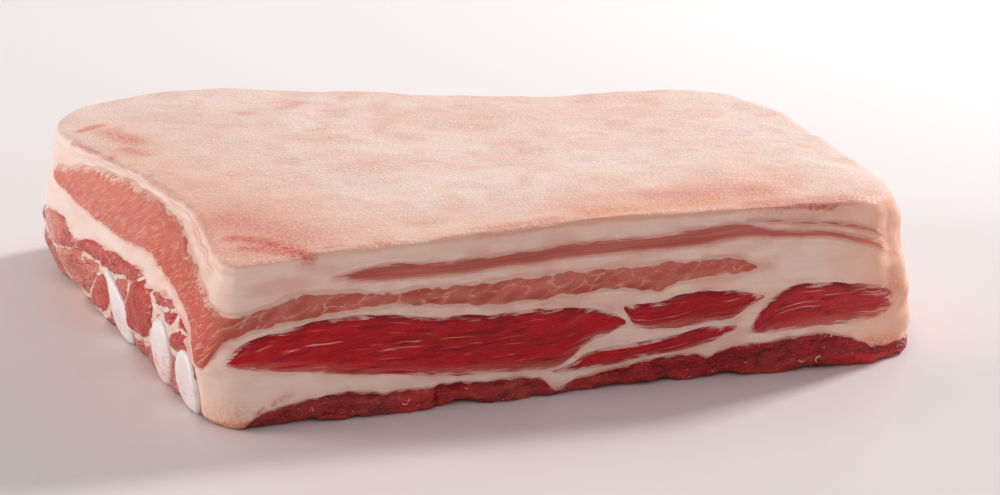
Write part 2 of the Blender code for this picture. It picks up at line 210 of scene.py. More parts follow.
ring, inward = fine_ring()
around = len(ring)
outline_middle = (ring[:, :2].min(axis=0) + ring[:, :2].max(axis=0)) / 2
frame_middle = np.array((low + high) / 2)[:2] / MM
SHIFT = np.array([*(outline_middle - frame_middle), low[2] / MM])
print("outline of", around, "points; the frame's origin lies at", SHIFT.round(2), "mm")

# %% [markdown]
# ## The lean
#
# Belly is layered: each muscle is a sheet that runs from the front cut to the back one. On
# the front cut a sheet is a table of (x, lower side, upper side), its heights in per cent
# of the slab's. The ends move as it goes deeper, and the wide pale sheet and the inner
# muscle rise towards the rib side, by tables over the depth share. Separate curves for
# each slice could do the same, but rules that hold for every depth let one function tell
# any point how far inside a sheet it lies, and that distance later paints the borders.

# %% Measures of the lean sheets
def one_sheet(wobble, front, ends=(0, 0), wave=1.3, turns=1.0, **rib_side):
    """A sheet: its unevenness in mm, its front table, how far each end moves and its swing."""
    return {"wobble": wobble, "front": front, "ends": ends, "wave": wave, "turns": turns, **rib_side}


SHEETS = {
    "skin_muscle": one_sheet(0.35, [
        (41, 85, 86), (50, 81, 88), (59, 79, 89), (80, 77.5, 86.8), (108, 78, 87.5), (138, 78.5, 88.2),
        (158, 78.5, 87.4), (176, 79.5, 90.3), (190, 81.3, 90.3), (203, 80.3, 86), (221, 79, 84),
        (237, 73, 78.6), (247, 67.5, 73.2)], ends=(10, 3), wave=1.6, turns=1.3),
    "skin_muscle_upper": one_sheet(0.3, [
        (193, 91.2, 92.3), (198, 90, 92.6), (208, 88, 90.8), (220, 86, 89.2), (230, 83.8, 88),
        (239, 80.3, 84.5), (248, 75.8, 78.5)], ends=(0, 3), wave=1.6, turns=1.3),
    "pale_muscle": one_sheet(0.6, [
        (-45, 34, 75), (-4.5, 36, 75), (-1.5, 47, 74), (3, 55, 73), (8, 58, 73.5),
        (18, 61.5, 75.5), (30, 62, 77.8), (45, 64, 77.5), (60, 64.2, 73),
        (80, 60.5, 72.8), (102, 56.5, 73), (140, 58, 72.3), (158, 54.8, 71.5),
        (168, 58.8, 72), (184, 61, 72), (200, 63, 64.5)], ends=(0, 14), wave=1.5, turns=0.9,
        left_end=[(0, -45), (0.72, -45), (0.75, -24), (0.87, -8), (1, 2)],
        left_low=[(0, 34), (0.05, 35), (0.09, 54), (0.15, 60), (0.27, 64), (0.34, 66),
            (0.46, 63), (0.53, 63), (0.60, 66), (0.67, 69), (0.75, 71), (1, 72)],
        left_high=[(0, 75), (0.08, 82), (0.20, 86), (0.31, 93), (0.43, 94.5), (0.58, 94.5),
            (0.65, 90), (0.73, 82), (0.79, 76), (1, 75)],
        left_reach=60),
    "red_muscle_left": one_sheet(0.5, [
        (2.5, 41.5, 45), (9, 39.5, 55.5), (18, 36.5, 58.8), (44, 28.5, 61.5),
        (60, 25.5, 59.5), (80, 20, 54.5), (119, 17.3, 52), (127, 23, 51),
        (133, 30, 49.5), (141, 34.5, 46.5), (147, 38.5, 40.5)],
        left_end=[(0, 2.5), (0.05, 14), (0.09, 36), (0.15, 44), (1, 48)]),
    "red_muscle_middle": one_sheet(0.5, [
        (146.5, 46.5, 48.5), (151, 36, 49.3), (158, 33.5, 49.3), (168, 33.2, 51.8),
        (178, 34.4, 53), (186, 35.8, 52.8), (192, 40.5, 50.8), (199, 46.5, 48)], ends=(0, 4)),
    "red_muscle_low": one_sheet(0.4, [
        (120, 14.2, 15), (127, 14, 18.5), (133, 14.6, 24), (144, 15.8, 26),
        (158, 18, 27.8), (172, 20.8, 30.8), (180, 24, 32), (189, 29, 31.5)], ends=(0, 4)),
    "red_muscle_right": one_sheet(0.5, [
        (194, 26.5, 29), (198, 26, 39), (207, 26, 50.5), (213, 26.3, 53), (221, 27, 54),
        (230, 27.5, 52), (240, 28, 49.5), (246, 29, 47), (250.5, 34, 42.5)], ends=(4, 4)),
    "inner_muscle": one_sheet(0.7, [
        (8, -4, 3), (14, -6, 11), (30, -8, 15.2), (43, -10, 17.8), (58, -10, 15),
        (107, -10, 14.5), (115, -10, 12), (121, -10, 5), (130, -10, 10.4),
        (145, -10, 13.9), (174, -10, 17.8), (178.5, -10, 14.5), (183, -10, 17.3),
        (191, -10, 19.8), (221, -10, 23), (233, -10, 19), (242, -10, 12),
        (300, -10, 8)],
        left_end=[(0, 8), (0.05, -2), (0.09, -45), (1, -45)],
        left_low=[(0, -4), (0.05, -10), (1, -10)],
        left_high=[(0, 3), (0.05, 28), (0.09, 48), (0.14, 55), (0.23, 57), (0.30, 53),
            (0.35, 58), (0.43, 54), (0.55, 53), (0.60, 47), (0.67, 56),
            (0.75, 52), (0.85, 44), (1, 40)],
        left_reach=56),
}
for number, sheet in enumerate(SHEETS.values()):
    sheet["seed"] = 20 + 7 * number
RED = [name for name in SHEETS if name.startswith("red")]
TAKES_OVER = 0.06  # depth share from which the rib side's own heights hold
FULL_REACH = 0.15  # and from which they hold as far in as "left_reach"
END_REACH = 75.0  # mm over which the move of an end fades
ROUND_END = 12.0  # mm in which the moved end closes
PAST = 0.05  # share of the depth by which the cutters run past the block
THINNEST = 0.3  # mm
CLOSES_FROM = 8.0  # mm that an end has moved when it closes fully
WAVE_LENGTH = 40.0  # mm along the front cut for one radian of the swing


# %% Where a sheet lies
def ends_of(sheet):
    """The first and the last station of a sheet's front table."""
    return sheet["front"][0][0], sheet["front"][-1][0]


def sheet_place(sheet, station, share):
    """Where a station of the front cut lies at a depth share."""
    first, last = ends_of(sheet)
    inside = np.clip(share, 0, 1)
    left = through(sheet["left_end"], inside) - first if "left_end" in sheet else sheet["ends"][0] * inside
    near_first = np.clip(1 - (station - first) / END_REACH, 0, 1)
    near_last = np.clip(1 - (last - station) / END_REACH, 0, 1)
    return station + left * near_first + sheet["ends"][1] * inside * near_last


def sheet_station(sheet, x, share):
    """The reverse of sheet_place, found in a few damped steps."""
    station = np.array(x, float)
    for _ in range(12):
        station = station - 0.7 * (sheet_place(sheet, station, share) - x)
    return station


def sheet_sides(sheet, x, y, station, share):
    """The sheet's lower and upper side, in mm over the table."""
    table = np.asarray(sheet["front"], float)
    first = table[0, 0]
    inside = np.clip(share, 0, 1)
    at = np.maximum(x, first) if "left_end" in sheet else station
    low_side = through(table[:, [0, 1]], at)
    high_side = through(table[:, [0, 2]], at)
    near_left = np.zeros(len(x))
    if "left_low" in sheet:
        reach = sheet["left_reach"] * np.clip(np.maximum(inside, 0.001) / FULL_REACH, 0, 1)
        near_left = np.clip(1 - x / reach, 0, 1) ** 1.5 * np.clip(inside / TAKES_OVER, 0, 1)
        low_side = low_side * (1 - near_left) + through(sheet["left_low"], inside) * near_left
        high_side = high_side * (1 - near_left) + through(sheet["left_high"], inside) * near_left
    swing = sheet["wave"] * np.sin(2 * np.pi * sheet["turns"] * inside + at / WAVE_LENGTH)
    swing = swing * np.clip(inside / FULL_REACH, 0, 1) * (1 - near_left)
    left = through(sheet["left_end"], inside) if "left_end" in sheet else first + sheet["ends"][0] * inside
    moved = np.clip((left - first) / CLOSES_FROM, 0, 1)
    closing = 1 - moved * (1 - np.clip((x - left) / ROUND_END, 0, 1) ** 0.5)
    middle = (low_side + high_side) / 2 + swing
    half = (high_side - low_side) / 2 * closing
    tall = height(x, y)
    z_low = tall * (middle - half) / 100
    z_high = tall * (middle + half) / 100
    uneven = sheet["wobble"] * smooth(0, 6, z_high - z_low)
    plan = np.column_stack([x, y, np.zeros(len(x))])
    seed = sheet["seed"]
    z_low = z_low + uneven * (noise(plan, 9, seed) + 0.6 * noise(plan, 3.4, seed + 1))
    z_high = z_high + uneven * (noise(plan, 9, seed + 2) + 0.6 * noise(plan, 3.4, seed + 3))
    thin = np.maximum(0, THINNEST - (z_high - z_low)) / 2
    return z_low - thin, z_high + thin


def in_sheet(sheet, p):
    """Station, height over the sheet's middle, and signed distance to its border, in mm."""
    share = depth_share(p[:, 0], p[:, 1])
    station = sheet_station(sheet, p[:, 0], share)
    z_low, z_high = sheet_sides(sheet, p[:, 0], p[:, 1], station, share)
    first, last = ends_of(sheet)
    border = np.minimum(p[:, 2] - z_low, z_high - p[:, 2])
    border = np.minimum(border, np.minimum(station - first, last - station))
    return station, p[:, 2] - (z_low + z_high) / 2, border


# %% [markdown]
# ## The skin of the block
#
# The block could be a subdivided box pushed into shape. Rows of the outline, stacked from
# the foot to the rim, give more control: each row leans in by the slant that the outline
# states, and the last few turn over the rim. The flat top and bottom are filled with
# scattered points joined by a Delaunay triangulation, so no pole or seam shows on the rind.

# %% Rows, top and bottom
SIDE_STEP = 1.0  # mm between rows, and between the scattered points
TOP_STEP = 2.0
BOTTOM_STEP = 3.2
ROW_GAP = 0.87  # in steps, so that the triangles are nearly even
SCATTER = 0.18  # in steps, how far a point strays from its row
CLEARANCE = 0.75  # in steps, between the scattered points and the edge
FOOT_TURNS = (0.0, 0.4, 0.75)  # shares of the quarter turn at the foot
RIM_ROWS = 5


def ring_faces(rows, sides):
    """Two triangles for each cell between stacked rows."""
    i = np.arange(sides)
    j = (i + 1) % sides
    faces = []
    for row in range(rows - 1):
        a = row * sides + i
        b = row * sides + j
        faces.append(np.column_stack([a, b, b + sides]))
        faces.append(np.column_stack([a, b + sides, a + sides]))
    return np.concatenate(faces)


def fill(edge, step):
    """Scattered plan points inside an edge, and the triangles over both."""
    middle = np.array(MIDDLE)
    away = edge - middle
    angle = np.arctan2(away[:, 1], away[:, 0])
    order = np.argsort(angle)
    xs = np.arange(edge[:, 0].min(), edge[:, 0].max(), step)
    ys = np.arange(edge[:, 1].min(), edge[:, 1].max(), step * ROW_GAP)
    grid = np.array([(x + (step / 2 if row % 2 else 0), y) for row, y in enumerate(ys) for x in xs])
    spread = np.column_stack([grid, grid[:, 0]])
    grid += SCATTER * step * np.column_stack([noise(spread, step * 0.9, 3), noise(spread, step * 0.9, 4)])
    there = grid - middle
    limit = np.interp(np.arctan2(there[:, 1], there[:, 0]), angle[order],
                      np.hypot(*away.T)[order], period=2 * np.pi)
    grid = grid[np.hypot(*there.T) < limit - step * CLEARANCE]
    points = [Vector(point) for point in np.vstack([edge, grid])]
    closed = [(i, (i + 1) % len(edge)) for i in range(len(edge))]
    result = geometry.delaunay_2d_cdt(points, closed, [], 1, 1e-5)
    return grid, np.array(result[2])


def lean_in(share):
    """How far the wall stands inside the outline at a share of the height."""
    above, below = slants(share)
    return ring[:, 2] * above + ring[:, 3] * below


def level(inset, share, raised=0.0):
    """One row of points: the outline moved in, at a share of the height."""
    plan = ring[:, :2] + inward * inset[:, None]
    return np.column_stack([plan, height(plan[:, 0], plan[:, 1]) * share + raised])


def block():
    """Points and triangles of the whole slab, smooth still."""
    tall = height(ring[:, 0], ring[:, 1])
    rim = ring[:, 4]
    lift = through(FRONT_LIFT, ring[:, 0]) * np.clip((20 - ring[:, 1]) / 25, 0, 1)
    foot_inset = lean_in(np.zeros(around))
    rows = []
    for share in FOOT_TURNS:
        turn = share * np.pi / 2
        rows.append(level(foot_inset + FOOT_RADIUS * (1 - np.sin(turn)), 0,
                          FOOT_RADIUS * (1 - np.cos(turn)) + lift * share))
    foot_share = (FOOT_RADIUS + lift) / tall
    rim_share = 1 - rim / tall
    levels = int((SIDE_HEIGHT - 2) / SIDE_STEP)
    for k in range(levels + 1):
        share = foot_share + (rim_share - foot_share) * k / levels
        rows.append(level(lean_in(share), share))
    for k in range(1, RIM_ROWS + 1):
        turn = k / RIM_ROWS * np.pi / 2
        share = 1 - rim / tall * (1 - np.sin(turn))
        rows.append(level(lean_in(share) + rim * (1 - np.cos(turn)), share))
    points = np.concatenate(rows)
    faces = [ring_faces(len(rows), around)]
    for row, step, up in ((len(rows) - 1, TOP_STEP, True), (0, BOTTOM_STEP, False)):
        grid, triangles = fill(rows[row][:, :2], step)
        index = np.concatenate([np.arange(around) + row * around, np.arange(len(grid)) + len(points)])
        z = height(grid[:, 0], grid[:, 1]) if up else np.zeros(len(grid))
        points = np.vstack([points, np.column_stack([grid, z])])
        faces.append(index[triangles] if up else index[triangles][:, ::-1])
    return points, np.concatenate(faces)


points, faces = block()
print("block", len(points), "points,", len(faces), "triangles")

# %% [markdown]
# ## The ribs
#
# Three rib ends show on the rib side, cut through on the slant: pale, smooth, rounder than
# wide. Each is a row of rings from a low dome on the outside to a thin end in the meat,
# and each ring is an ellipse that may taper, lean and bend. A curve with a bevel could
# not change its section so, and a lathe would make it round.

# %% Measures of the ribs
RIBS = {  # y, z, half width, half height, lean, taper, bend, how far it stands out, length
    "rib_1": (93, 13.0, 11.0, 12.8, 0, 0.3, 17, 1.3, 120),
    "rib_2": (43, 13.2, 11.3, 12.4, 22, 0.0, 0, 1.6, 118),
    "rib_3": (15, 11.6, 11.8, 11.6, 5, 0.15, 0, 1.5, 112),
}
BEND_POWER = 5  # keeps the bend to the tip
RIB_SIDES = 96
DOME = [(0.0, 0.2), (0.1, 0.4), (0.25, 0.58), (0.5, 0.74), (0.8, 0.87), (1.3, 0.96), (2.2, 1.0)]
NARROWS = [(0.0, 1.0), (0.1, 1.0), (0.35, 0.8), (0.7, 0.58), (1.0, 0.28)]
UPRIGHT_TO = 0.3  # share of its length over which a rib loses its lean and bend
SUNK_FROM = 0.35  # and by which it has sunk to SUNK_Z and is flattened
SUNK_Z = 5.2
FLATTENED = 0.6
DRIFT = 9  # mm that it runs off backwards, and how far it bows that way
BOW = 5


def rib_section(rib, upright=1.0, scale=1.0, flatten=0.0):
    """Across and up offsets of one ring of a rib from its middle, in mm."""
    wide, tall, lean, taper, bend = rib[2:7]
    turns = np.linspace(0, 2 * np.pi, RIB_SIDES, endpoint=False)
    rise = np.sin(turns)
    across = wide * scale * np.cos(turns) * (1 - taper * upright * rise * scale)
    across = across + bend * upright * ((rise * scale + 1) / 2) ** BEND_POWER
    up = tall * scale * (1 - flatten) * rise
    angle = math.radians(lean) * upright
    return (across * np.cos(angle) - up * np.sin(angle), across * np.sin(angle) + up * np.cos(angle))


def rib_side_x(y, share):
    """The x of the rib side at a place along it and a share of its height."""
    side = np.array(sorted((k[1], k[0], k[2], k[3]) for k in OUTLINE[RIB_SIDE_FROM:]), float)
    above, below = slants(share)
    return (np.interp(y, side[:, 0], side[:, 1]) + np.interp(y, side[:, 0], side[:, 2]) * above
            + np.interp(y, side[:, 0], side[:, 3]) * below)


def from_edge(plan, edge):
    """Distance in mm from points to a closed line, under zero inside it."""
    best = np.full(len(plan), 1e9)
    crossed = np.zeros(len(plan), int)
    for a, b in zip(edge, np.roll(edge, -1, axis=0)):
        along = b - a
        t = np.clip(((plan - a) @ along) / (along @ along), 0, 1)
        best = np.minimum(best, np.linalg.norm(plan - a - t[:, None] * along, axis=1))
        spans = (a[1] > plan[:, 1]) != (b[1] > plan[:, 1])
        rise = b[1] - a[1] if b[1] != a[1] else 1e-9
        crossed += (spans & (plan[:, 0] < a[0] + (plan[:, 1] - a[1]) / rise * along[0])).astype(int)
    return np.where(crossed % 2 == 1, -best, best)


def from_ribs(p):
    """Distance in mm over the rib side to the nearest rib end, and 99 elsewhere."""
    found = np.full(len(p), 99.0)
    here = p[:, 0] < 5
    for rib in RIBS.values():
        across, up = rib_section(rib)
        edge = np.column_stack([rib[0] + across, rib[1] + up])
        found[here] = np.minimum(found[here], from_edge(p[here, 1:3], edge))
    return found


# %% [markdown]
# ## Bundles on the rib side
#
# Between the ribs the inner muscle isn't one sheet but eleven bundles, each bulging a
# little and each with its own red, with white seams of connective tissue between them. A
# Voronoi pattern would give seams too, but of even cells. Here each bundle is an ellipse on
# the rib side; a point belongs to the bundle whose edge it is deepest inside, and where
# two are as near as each other, or none is near, there is a seam.

# %% Measures of the bundles
BUNDLES = {  # y, z, half length, half height, angle, paleness, redness
    "curl": (161, 25.5, 20.9, 7.4, -5, 0.62, 0.2),
    "low": (144, 15.1, 25.7, 8.0, -9, 0.95, 0.0),
    "long": (107, 29.5, 33.2, 4.1, -5, 0.4, 0.1),
    "pink": (125, 22.2, 9.7, 2.9, 0, 0.85, 0.0),
    "narrow": (118, 12.8, 11.9, 6.4, -31, 0.35, 0.0),
    "beside_rib": (88, 22.6, 9.1, 4.0, -4, 0.5, 0.0),
    "dark": (69, 21.5, 16.2, 9.7, -17, 0.12, 0.25),
    "oval": (46, 31.8, 13.4, 1.9, -7, 0.45, 0.1),
    "small": (35, 28.1, 6.7, 1.2, -12, 0.1, 0.5),
    "last": (19, 24.2, 11.7, 2.7, -12, 0.25, 0.5),
    "bright": (19, 29.4, 8.3, 1.6, -6, 0.0, 1.0),
}
SPREAD = 1.3  # mm that a bundle grows past its ellipse
RAGGED = 0.7  # mm of unevenness in its edge


def in_bundles(p):
    """Distance in mm inside the nearest bundle, its paleness and its redness."""
    nearest = np.full(len(p), -99.0)
    second = np.full(len(p), -99.0)
    pale = np.zeros(len(p))
    red = np.zeros(len(p))
    for y, z, length, tall, lean, paleness, redness in BUNDLES.values():
        turn = math.radians(lean)
        dy = p[:, 1] - y + RAGGED * noise(p, 7, 3)
        dz = p[:, 2] - z + RAGGED * (noise(p, 6, 5) + 0.5 * noise(p, 2.5, 6))
        u = (dy * math.cos(turn) + dz * math.sin(turn)) / length
        v = (dz * math.cos(turn) - dy * math.sin(turn)) / tall
        k = np.maximum(np.hypot(u, v), 1e-6)
        inside = k * (1 - k) / np.hypot(u / length, v / tall)
        inside = np.where(k < 0.5, np.maximum(inside, tall * 0.5), inside)
        closer = inside > nearest
        second = np.where(closer, nearest, np.maximum(second, inside))
        nearest = np.where(closer, inside, nearest)
        pale = np.where(closer, paleness, pale)
        red = np.where(closer, redness, red)
    return np.minimum(nearest + SPREAD, (nearest - second) / 2), pale, red


# %% [markdown]
# ## Relief that follows the form
#
# A cut face is never flat: lean swells, its borders sink, bundles bulge, the meat draws back
# around bone, and the rind has creases and a lip. These follow known places, so they
# are one height in millimetres for each point, kept on the mesh as the attribute "raised".

# %% Heights that follow the form
CREASES = [  # x, y to x, y, half width, height in mm
    (68, 144, 93, 174, 7, -1.1), (60, 150, 84, 186, 7, 1.0), (85, 114, 107, 130, 7, -0.8),
    (63, 120, 87, 41, 11, 0.7), (150, 60, 185, 120, 14, -0.6), (205, 30, 235, 120, 13, 0.6),
    (20, 175, 45, 100, 12, -0.6), (130, 150, 165, 175, 12, 0.6), (110, 20, 190, 45, 9, -0.5),
]
NOTCH = (79.0, 5.0)  # x and z of the tear in the inner muscle
FRILL_FROM = 243.0  # x past which the thin flank is pinched and frilly


def crease_height(p):
    """Long soft creases and swellings of the rind, in mm."""
    total = np.zeros(len(p))
    for x0, y0, x1, y1, half, tall in CREASES:
        along = np.array([x1 - x0, y1 - y0], float)
        length = np.hypot(*along)
        along /= length
        there = p[:, :2] - (x0, y0)
        t = there @ along
        off = there @ np.array([-along[1], along[0]]) + 5 * noise(p * (1, 1, 0), 40, 12)
        ends = smooth(-0.35, 0.2, t / length) * smooth(1.35, 0.8, t / length)
        total += tall * ends * np.exp(-((off / half) ** 2))
    return total


def form_height(p, upright):
    """How far the finished surface stands out of the smooth block, in mm."""
    side = 1 - upright
    sheets = {name: in_sheet(sheet, p)[2] for name, sheet in SHEETS.items()}
    lean = np.max(list(sheets.values()), axis=0)
    cut = 0.55 * smooth(-0.2, 1.8, lean) - 0.2 * smooth(1.4, 0, np.abs(lean))
    scales = smooth(0.0, 1.5, sheets["pale_muscle"]) * noise(p, (5, 12, 3.2), 14)
    cut += 0.35 * scales
    on_side = smooth(12, 2, p[:, 0]) * smooth(0.0, 1.2, sheets["inner_muscle"])
    cut += on_side * (1.3 * smooth(-0.5, 3.5, in_bundles(p)[0]) - 0.8)
    torn = smooth(0.0, 2.0, sheets["inner_muscle"]) * smooth(0, 8, p[:, 0])
    cut += torn * (1.5 * noise(p, (16, 14, 8), 51) + 0.9 * noise(p, (6, 6, 4), 52) - 0.9)
    below = height(p[:, 0], p[:, 1]) - p[:, 2]
    lip = 0.5 * smooth(3.0, 1.6, below) - 0.45 * smooth(1.5, 0, np.abs(below - 3.4))
    cut += lip * (0.35 + 0.65 * smooth(10, 0, p[:, 0]))
    notch = np.hypot((p[:, 0] - NOTCH[0]) / 3.2, (p[:, 2] - NOTCH[1]) / 4.5)
    cut -= 3.0 * smooth(1.2, 0.1, notch) * (p[:, 1] < 20)
    frill = smooth(FRILL_FROM, FRILL_FROM + 8, p[:, 0]) * smooth(60, 10, p[:, 1]) * smooth(4, 12, p[:, 2])
    waist = 1.6 * np.exp(-(((p[:, 2] - 43) / 6) ** 2))
    cut -= frill * (1.2 + waist + 1.5 * noise(p, (60, 14, 9), 31) + 0.8 * noise(p, (30, 7, 3.5), 32))
    rib = from_ribs(p)
    cut = cut * smooth(0.3, 4.0, rib) - 0.5 * smooth(3.0, 0.8, rib)
    return side * cut + upright * crease_height(p), side * smooth(0.5, 5, rib)


def keep(mesh, name, values):
    """Keeps one value or vector for each point on a mesh."""
    values = np.asarray(values, np.float32)
    kind, slot = ("FLOAT", "value") if values.ndim == 1 else ("FLOAT_VECTOR", "vector")
    mesh.attributes.new(name, kind, "POINT").data.foreach_set(slot, values.ravel())


def linked(name, data):
    """A new object of the scene, at the origin."""
    made = bpy.data.objects.new(name, data)
    bpy.context.collection.objects.link(made)
    return made


def mesh_object(name, points, faces):
    """An object at the origin from points in mm and triangles."""
    mesh = bpy.data.meshes.new(name)
    mesh.vertices.add(len(points))
    mesh.vertices.foreach_set("co", ((points - SHIFT) * MM).astype(np.float32).ravel())
    mesh.loops.add(len(faces) * 3)
    mesh.loops.foreach_set("vertex_index", faces.astype(np.int32).ravel())
    mesh.polygons.add(len(faces))
    mesh.polygons.foreach_set("loop_start", np.arange(0, len(faces) * 3, 3, dtype=np.int32))
    mesh.polygons.foreach_set("loop_total", np.full(len(faces), 3, dtype=np.int32))
    mesh.update(calc_edges=True)
    return linked(name, mesh)


def upward(points, faces):
    """How far each point's normal points up, from 0 to 1."""
    a, b, c = (points[faces[:, k]] for k in range(3))
    across = np.cross(b - a, c - a)
    total = np.zeros_like(points)
    for k in range(3):
        np.add.at(total, faces[:, k], across)
    return smooth(0.5, 0.85, total[:, 2] / np.maximum(np.linalg.norm(total, axis=1), 1e-9))


whole = mesh_object("whole", points, faces)
top = upward(points, faces)
raised, on_cut = form_height(points, top)
knobbly = on_cut * smooth(-0.5, 1.5, in_sheet(SHEETS["inner_muscle"], points)[2])
for name, values in (("raised", raised), ("on_cut", on_cut), ("knobbly", knobbly), ("on_top", top)):
    keep(whole.data, name, values)
print("raised from", raised.min().round(2), "to", raised.max().round(2), "mm")

# %% [markdown]
# ## Relief that has no fixed place
#
# The rest is soft unevenness: the fat swells, the torn underside is knobbly, the rind is
# crumpled by the knife and by hanging. It follows a rule over the whole surface, so it is a
# Geometry Nodes tree: each kind of unevenness is a noise of a stated length and height,
# shown through one of the masks above. A Displace modifier for each kind would do, but one
# tree keeps their sizes side by side as named inputs. The tree also holds the surface within
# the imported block, so the slab keeps its real size.

# %% One node with its settings and links
def add(tree, kind, inputs=None, **settings):
    """Adds a node; inputs maps a socket's name or number to a value or to another's output."""
    made = tree.nodes.new(kind)
    for name, value in settings.items():
        setattr(made, name, value)
    for socket, value in (inputs or {}).items():
        if isinstance(value, bpy.types.NodeSocket):
            tree.links.new(value, made.inputs[socket])
        else:
            made.inputs[socket].default_value = value
    return made


def new_tree(name, **inputs):
    """A Geometry Nodes tree with named inputs, and its group input node."""
    tree = bpy.data.node_groups.new(name, "GeometryNodeTree")
    tree.interface.new_socket("Geometry", in_out="INPUT", socket_type="NodeSocketGeometry")
    tree.interface.new_socket("Geometry", in_out="OUTPUT", socket_type="NodeSocketGeometry")
    for label, kind in inputs.items():
        tree.interface.new_socket(label.replace("_", " "), in_out="INPUT", socket_type="NodeSocket" + kind)
    return tree, tree.nodes.new("NodeGroupInput")


def plain(made):
    """The same object with its modifiers turned into plain mesh."""
    ready = made.evaluated_get(bpy.context.evaluated_depsgraph_get())
    mesh = bpy.data.meshes.new_from_object(ready)
    made.modifiers.clear()
    made.data = mesh
    mesh.name = made.name
    return made


def grown(source, name, tree, **values):
    """A plain mesh object: what the tree makes of the source's mesh with these inputs."""
    made = linked(name, source.data.copy())
    modifier = made.modifiers.new(tree.name, "NODES")
    modifier.node_group = tree
    sockets = {item.name: item.identifier for item in tree.interface.items_tree if item.in_out == "INPUT"}
    for label, value in values.items():
        modifier[sockets[label.replace("_", " ")]] = value
    return plain(made)


# %% The unevenness tree
UNEVEN = {  # mask, length and height of the noise, its detail
    "Swell": ("on_cut", 0.030, 0.0006, 1.0),
    "Ripple": ("on_cut", 0.008, 0.0003, 2.0),
    "Knob": ("knobbly", 0.011, 0.0013, 3.0),
    "Crumple": ("on_top", 0.045, 0.0011, 1.0),
    "Pucker": ("on_top", 0.013, 0.0004, 2.0),
}
sizes = {}
for label, (_, length, tall, _) in UNEVEN.items():
    sizes[label + "_length"] = length
    sizes[label + "_height"] = tall
tree, given = new_tree("unevenness", Low_corner="Vector", High_corner="Vector",
                       **{label: "Float" for label in sizes})
place = add(tree, "GeometryNodeInputPosition").outputs[0]
outward = add(tree, "GeometryNodeInputNormal").outputs[0]
stands = add(tree, "GeometryNodeInputNamedAttribute", {"Name": "raised"}, data_type="FLOAT").outputs[0]
offset = add(tree, "ShaderNodeMath", {0: stands, 1: MM}, operation="MULTIPLY").outputs[0]
for label, (mask, _, _, detail) in UNEVEN.items():
    per = add(tree, "ShaderNodeMath", {0: 1.0, 1: given.outputs[label + " length"]}, operation="DIVIDE")
    field = add(tree, "ShaderNodeTexNoise", {"Vector": place, "Scale": per.outputs[0], "Detail": detail})
    swing = add(tree, "ShaderNodeMapRange", {0: field.outputs[0], 1: 0.25, 2: 0.75, 3: -1.0, 4: 1.0})
    shown = add(tree, "GeometryNodeInputNamedAttribute", {"Name": mask}, data_type="FLOAT").outputs[0]
    high_point = add(tree, "ShaderNodeMath", {0: shown, 1: given.outputs[label + " height"]},
                     operation="MULTIPLY")
    offset = add(tree, "ShaderNodeMath", {0: swing.outputs[0], 1: high_point.outputs[0], 2: offset},
                 operation="MULTIPLY_ADD").outputs[0]
moved = add(tree, "ShaderNodeVectorMath", {0: outward, "Scale": offset}, operation="SCALE").outputs[0]
moved = add(tree, "ShaderNodeVectorMath", {0: place, 1: moved}, operation="ADD").outputs[0]
moved = add(tree, "ShaderNodeVectorMath", {0: moved, 1: given.outputs["Low corner"]}, operation="MAXIMUM")
moved = add(tree, "ShaderNodeVectorMath", {0: moved.outputs[0], 1: given.outputs["High corner"]},
            operation="MINIMUM")
shaped = add(tree, "GeometryNodeSetPosition", {0: given.outputs["Geometry"], "Position": moved.outputs[0]})
realized = add(tree, "GeometryNodeRealizeInstances", {0: shaped.outputs[0]})
ended = add(tree, "GeometryNodeSetMaterial", {0: realized.outputs[0]})
add(tree, "NodeGroupOutput", {0: ended.outputs[0]})

block_of_meat = grown(whole, "block_of_meat", tree, Low_corner=low, High_corner=high, **sizes)
bpy.data.objects.remove(whole)
for name in ("raised", "on_cut", "knobbly", "on_top"):
    block_of_meat.data.attributes.remove(block_of_meat.data.attributes[name])
print("uneven block of", len(block_of_meat.data.vertices), "points")

# %% [markdown]
# ## Cutting the block
#
# The pieces must meet without gaps along borders that are ragged to a fraction of a
# millimetre. So each sheet is first a closed body that runs past the block on every side, and
# a Boolean keeps the part inside the block as the lean and takes the same body away from
# the fat. All the meshes are closed, so the quick MANIFOLD solver can do it.

# %% Closed bodies of the sheets and ribs
STATION_STEP = 0.9
BEFORE = [-PAST, -0.02]  # depth shares at which the cutters have points, before the front cut,
AFTER = [1, 1.02, 1 + PAST]  # from the back cut on,
COARSE = [0.0, 0.02, 0.1, 0.25, 0.4, 0.55, 0.7, 0.85, 0.94, 0.97]  # and between the two
FINE_SHARE = 0.0055
FINE_TO = 12.0  # stations up to here follow the rib side closely
BELLY_DEPTH = 240.0


def closed_body(name, points, faces):
    """A mesh object with its faces turned outwards."""
    a, b, c = (points[faces[:, k]] for k in range(3))
    if np.einsum("ij,ij->", a, np.cross(b, c)) < 0:
        faces = faces[:, ::-1]
    return mesh_object(name, points, faces)


